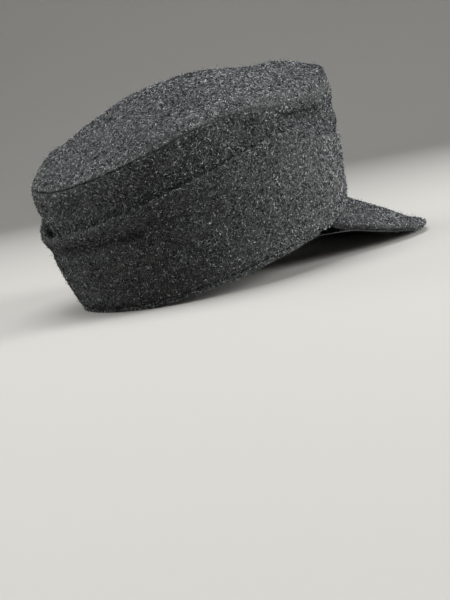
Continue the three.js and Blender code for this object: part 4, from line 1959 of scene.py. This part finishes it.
@dataclass(frozen=True)
class Studio:
    """A pale floor that runs up into a backdrop all round, soft light, and the camera.

    Its lengths are in metres, apart from those whose names say millimetres or pixels.
    """

    inner_radius: float = 0.4
    floor_radius: float = 1.7
    sweep_radius: float = 1.1
    sweep_steps: int = 16
    wall_height: float = 2.6
    spin_steps: int = 96
    floor_merge: float = 1e-4
    paper: BackdropPaper = BackdropPaper("backdrop_paper")
    azimuth_deg: float = 230.98
    elevation_deg: float = 8.70
    roll_deg: float = 11.31
    target_mm: tuple[float, float, float] = (-2.1, 32.2, -17.2)
    distance_mm: float = 725.0
    focal_px: float = 985.0
    long_side_px: float = 600.0
    sensor_mm: float = 36.0
    air_colour: str = "#f4f6fa"
    ambient: float = 0.08
    lit_height: float = 0.07
    lights: tuple[SoftBox, ...] = (
        SoftBox("overhead", 180.0, 1.6, 0.05, 1.2, 20.5),
        SoftBox("behind", 180.0, 1.3, 1.1, 1.0, 9.5),
        SoftBox("rear_left", 118.0, 0.5, 1.6, 1.0, 10.5),
        SoftBox("low_front_right", -50.0, 0.42, 1.35, 0.8, 22.0),
    )

    def build(self) -> None:
        """Builds the floor, the lights and the camera."""
        self.build_floor()
        for light in self.lights:
            light.build(Vector((0.0, 0.0, self.lit_height)))
        self.build_world()
        self.build_camera()

    def build_floor(self) -> None:
        """Spins the floor and its backdrop round the cap."""
        wall_radius = self.floor_radius + self.sweep_radius
        turns = np.linspace(0, math.pi / 2, self.sweep_steps + 1)[1:]
        outline = [(0.0, 0.0), (self.inner_radius, 0.0), (self.floor_radius, 0.0)]
        outline += [
            (
                self.floor_radius + self.sweep_radius * math.sin(turn),
                self.sweep_radius * (1 - math.cos(turn)),
            )
            for turn in turns
        ]
        outline.append((wall_radius, self.wall_height))
        mesh = bpy.data.meshes.new("studio_floor")
        edges = [(i, i + 1) for i in range(len(outline) - 1)]
        mesh.from_pydata([(x, 0.0, z) for x, z in outline], edges, [])
        floor = new_object("studio_floor", mesh)
        open_mesh(floor)
        bpy.ops.mesh.spin(
            steps=self.spin_steps, angle=2 * math.pi, center=(0, 0, 0), axis=(0, 0, 1)
        )
        bpy.ops.mesh.select_all(action="SELECT")
        bpy.ops.mesh.remove_doubles(threshold=self.floor_merge)
        bpy.ops.mesh.normals_make_consistent(inside=True)
        close_mesh(floor)
        mesh.materials.append(self.paper.material())

    def build_world(self) -> None:
        """Sets the even light that comes from all round."""
        world = bpy.data.worlds.new("studio_air")
        world.use_nodes = True
        background = world.node_tree.nodes["Background"]
        background.inputs["Color"].default_value = srgb(self.air_colour)
        background.inputs["Strength"].default_value = self.ambient
        bpy.context.scene.world = world

    def build_camera(self) -> None:
        """Places the camera at the photo's angle to the cap."""
        turn = math.radians(self.azimuth_deg)
        tilt = math.radians(self.elevation_deg)
        roll = math.radians(self.roll_deg)
        back = Vector(
            (math.sin(turn) * math.cos(tilt), -math.cos(turn) * math.cos(tilt), math.sin(tilt))
        )
        level_right = Vector((math.cos(turn), math.sin(turn), 0.0))
        level_up = back.cross(level_right)
        right = level_right * math.cos(roll) - level_up * math.sin(roll)
        up = level_right * math.sin(roll) + level_up * math.cos(roll)
        data = bpy.data.cameras.new("photo_camera")
        data.sensor_width = self.sensor_mm
        data.lens = self.focal_px / self.long_side_px * self.sensor_mm
        data.clip_start = 0.02
        data.clip_end = 20.0
        camera = new_object("photo_camera", data)
        camera.rotation_euler = Matrix((right, up, back)).transposed().to_euler()
        target = Vector(self.target_mm) * MM
        camera.location = target + back * self.distance_mm * MM
        bpy.context.scene.camera = camera


def main() -> None:
    """Builds the studio and the cap's pieces, and logs each part as it is built."""
    logging.basicConfig(level=logging.INFO, format="%(message)s")
    bpy.context.scene.view_settings.view_transform = "Standard"
    Studio().build()
    for part in (CrownTop(), CrownSide(), TurnUp(), RimHem(), Peak(), FrontButton()):
        part.build()
        LOG.info("%s is built", type(part).__name__)


if __name__ == "__main__":
    main()
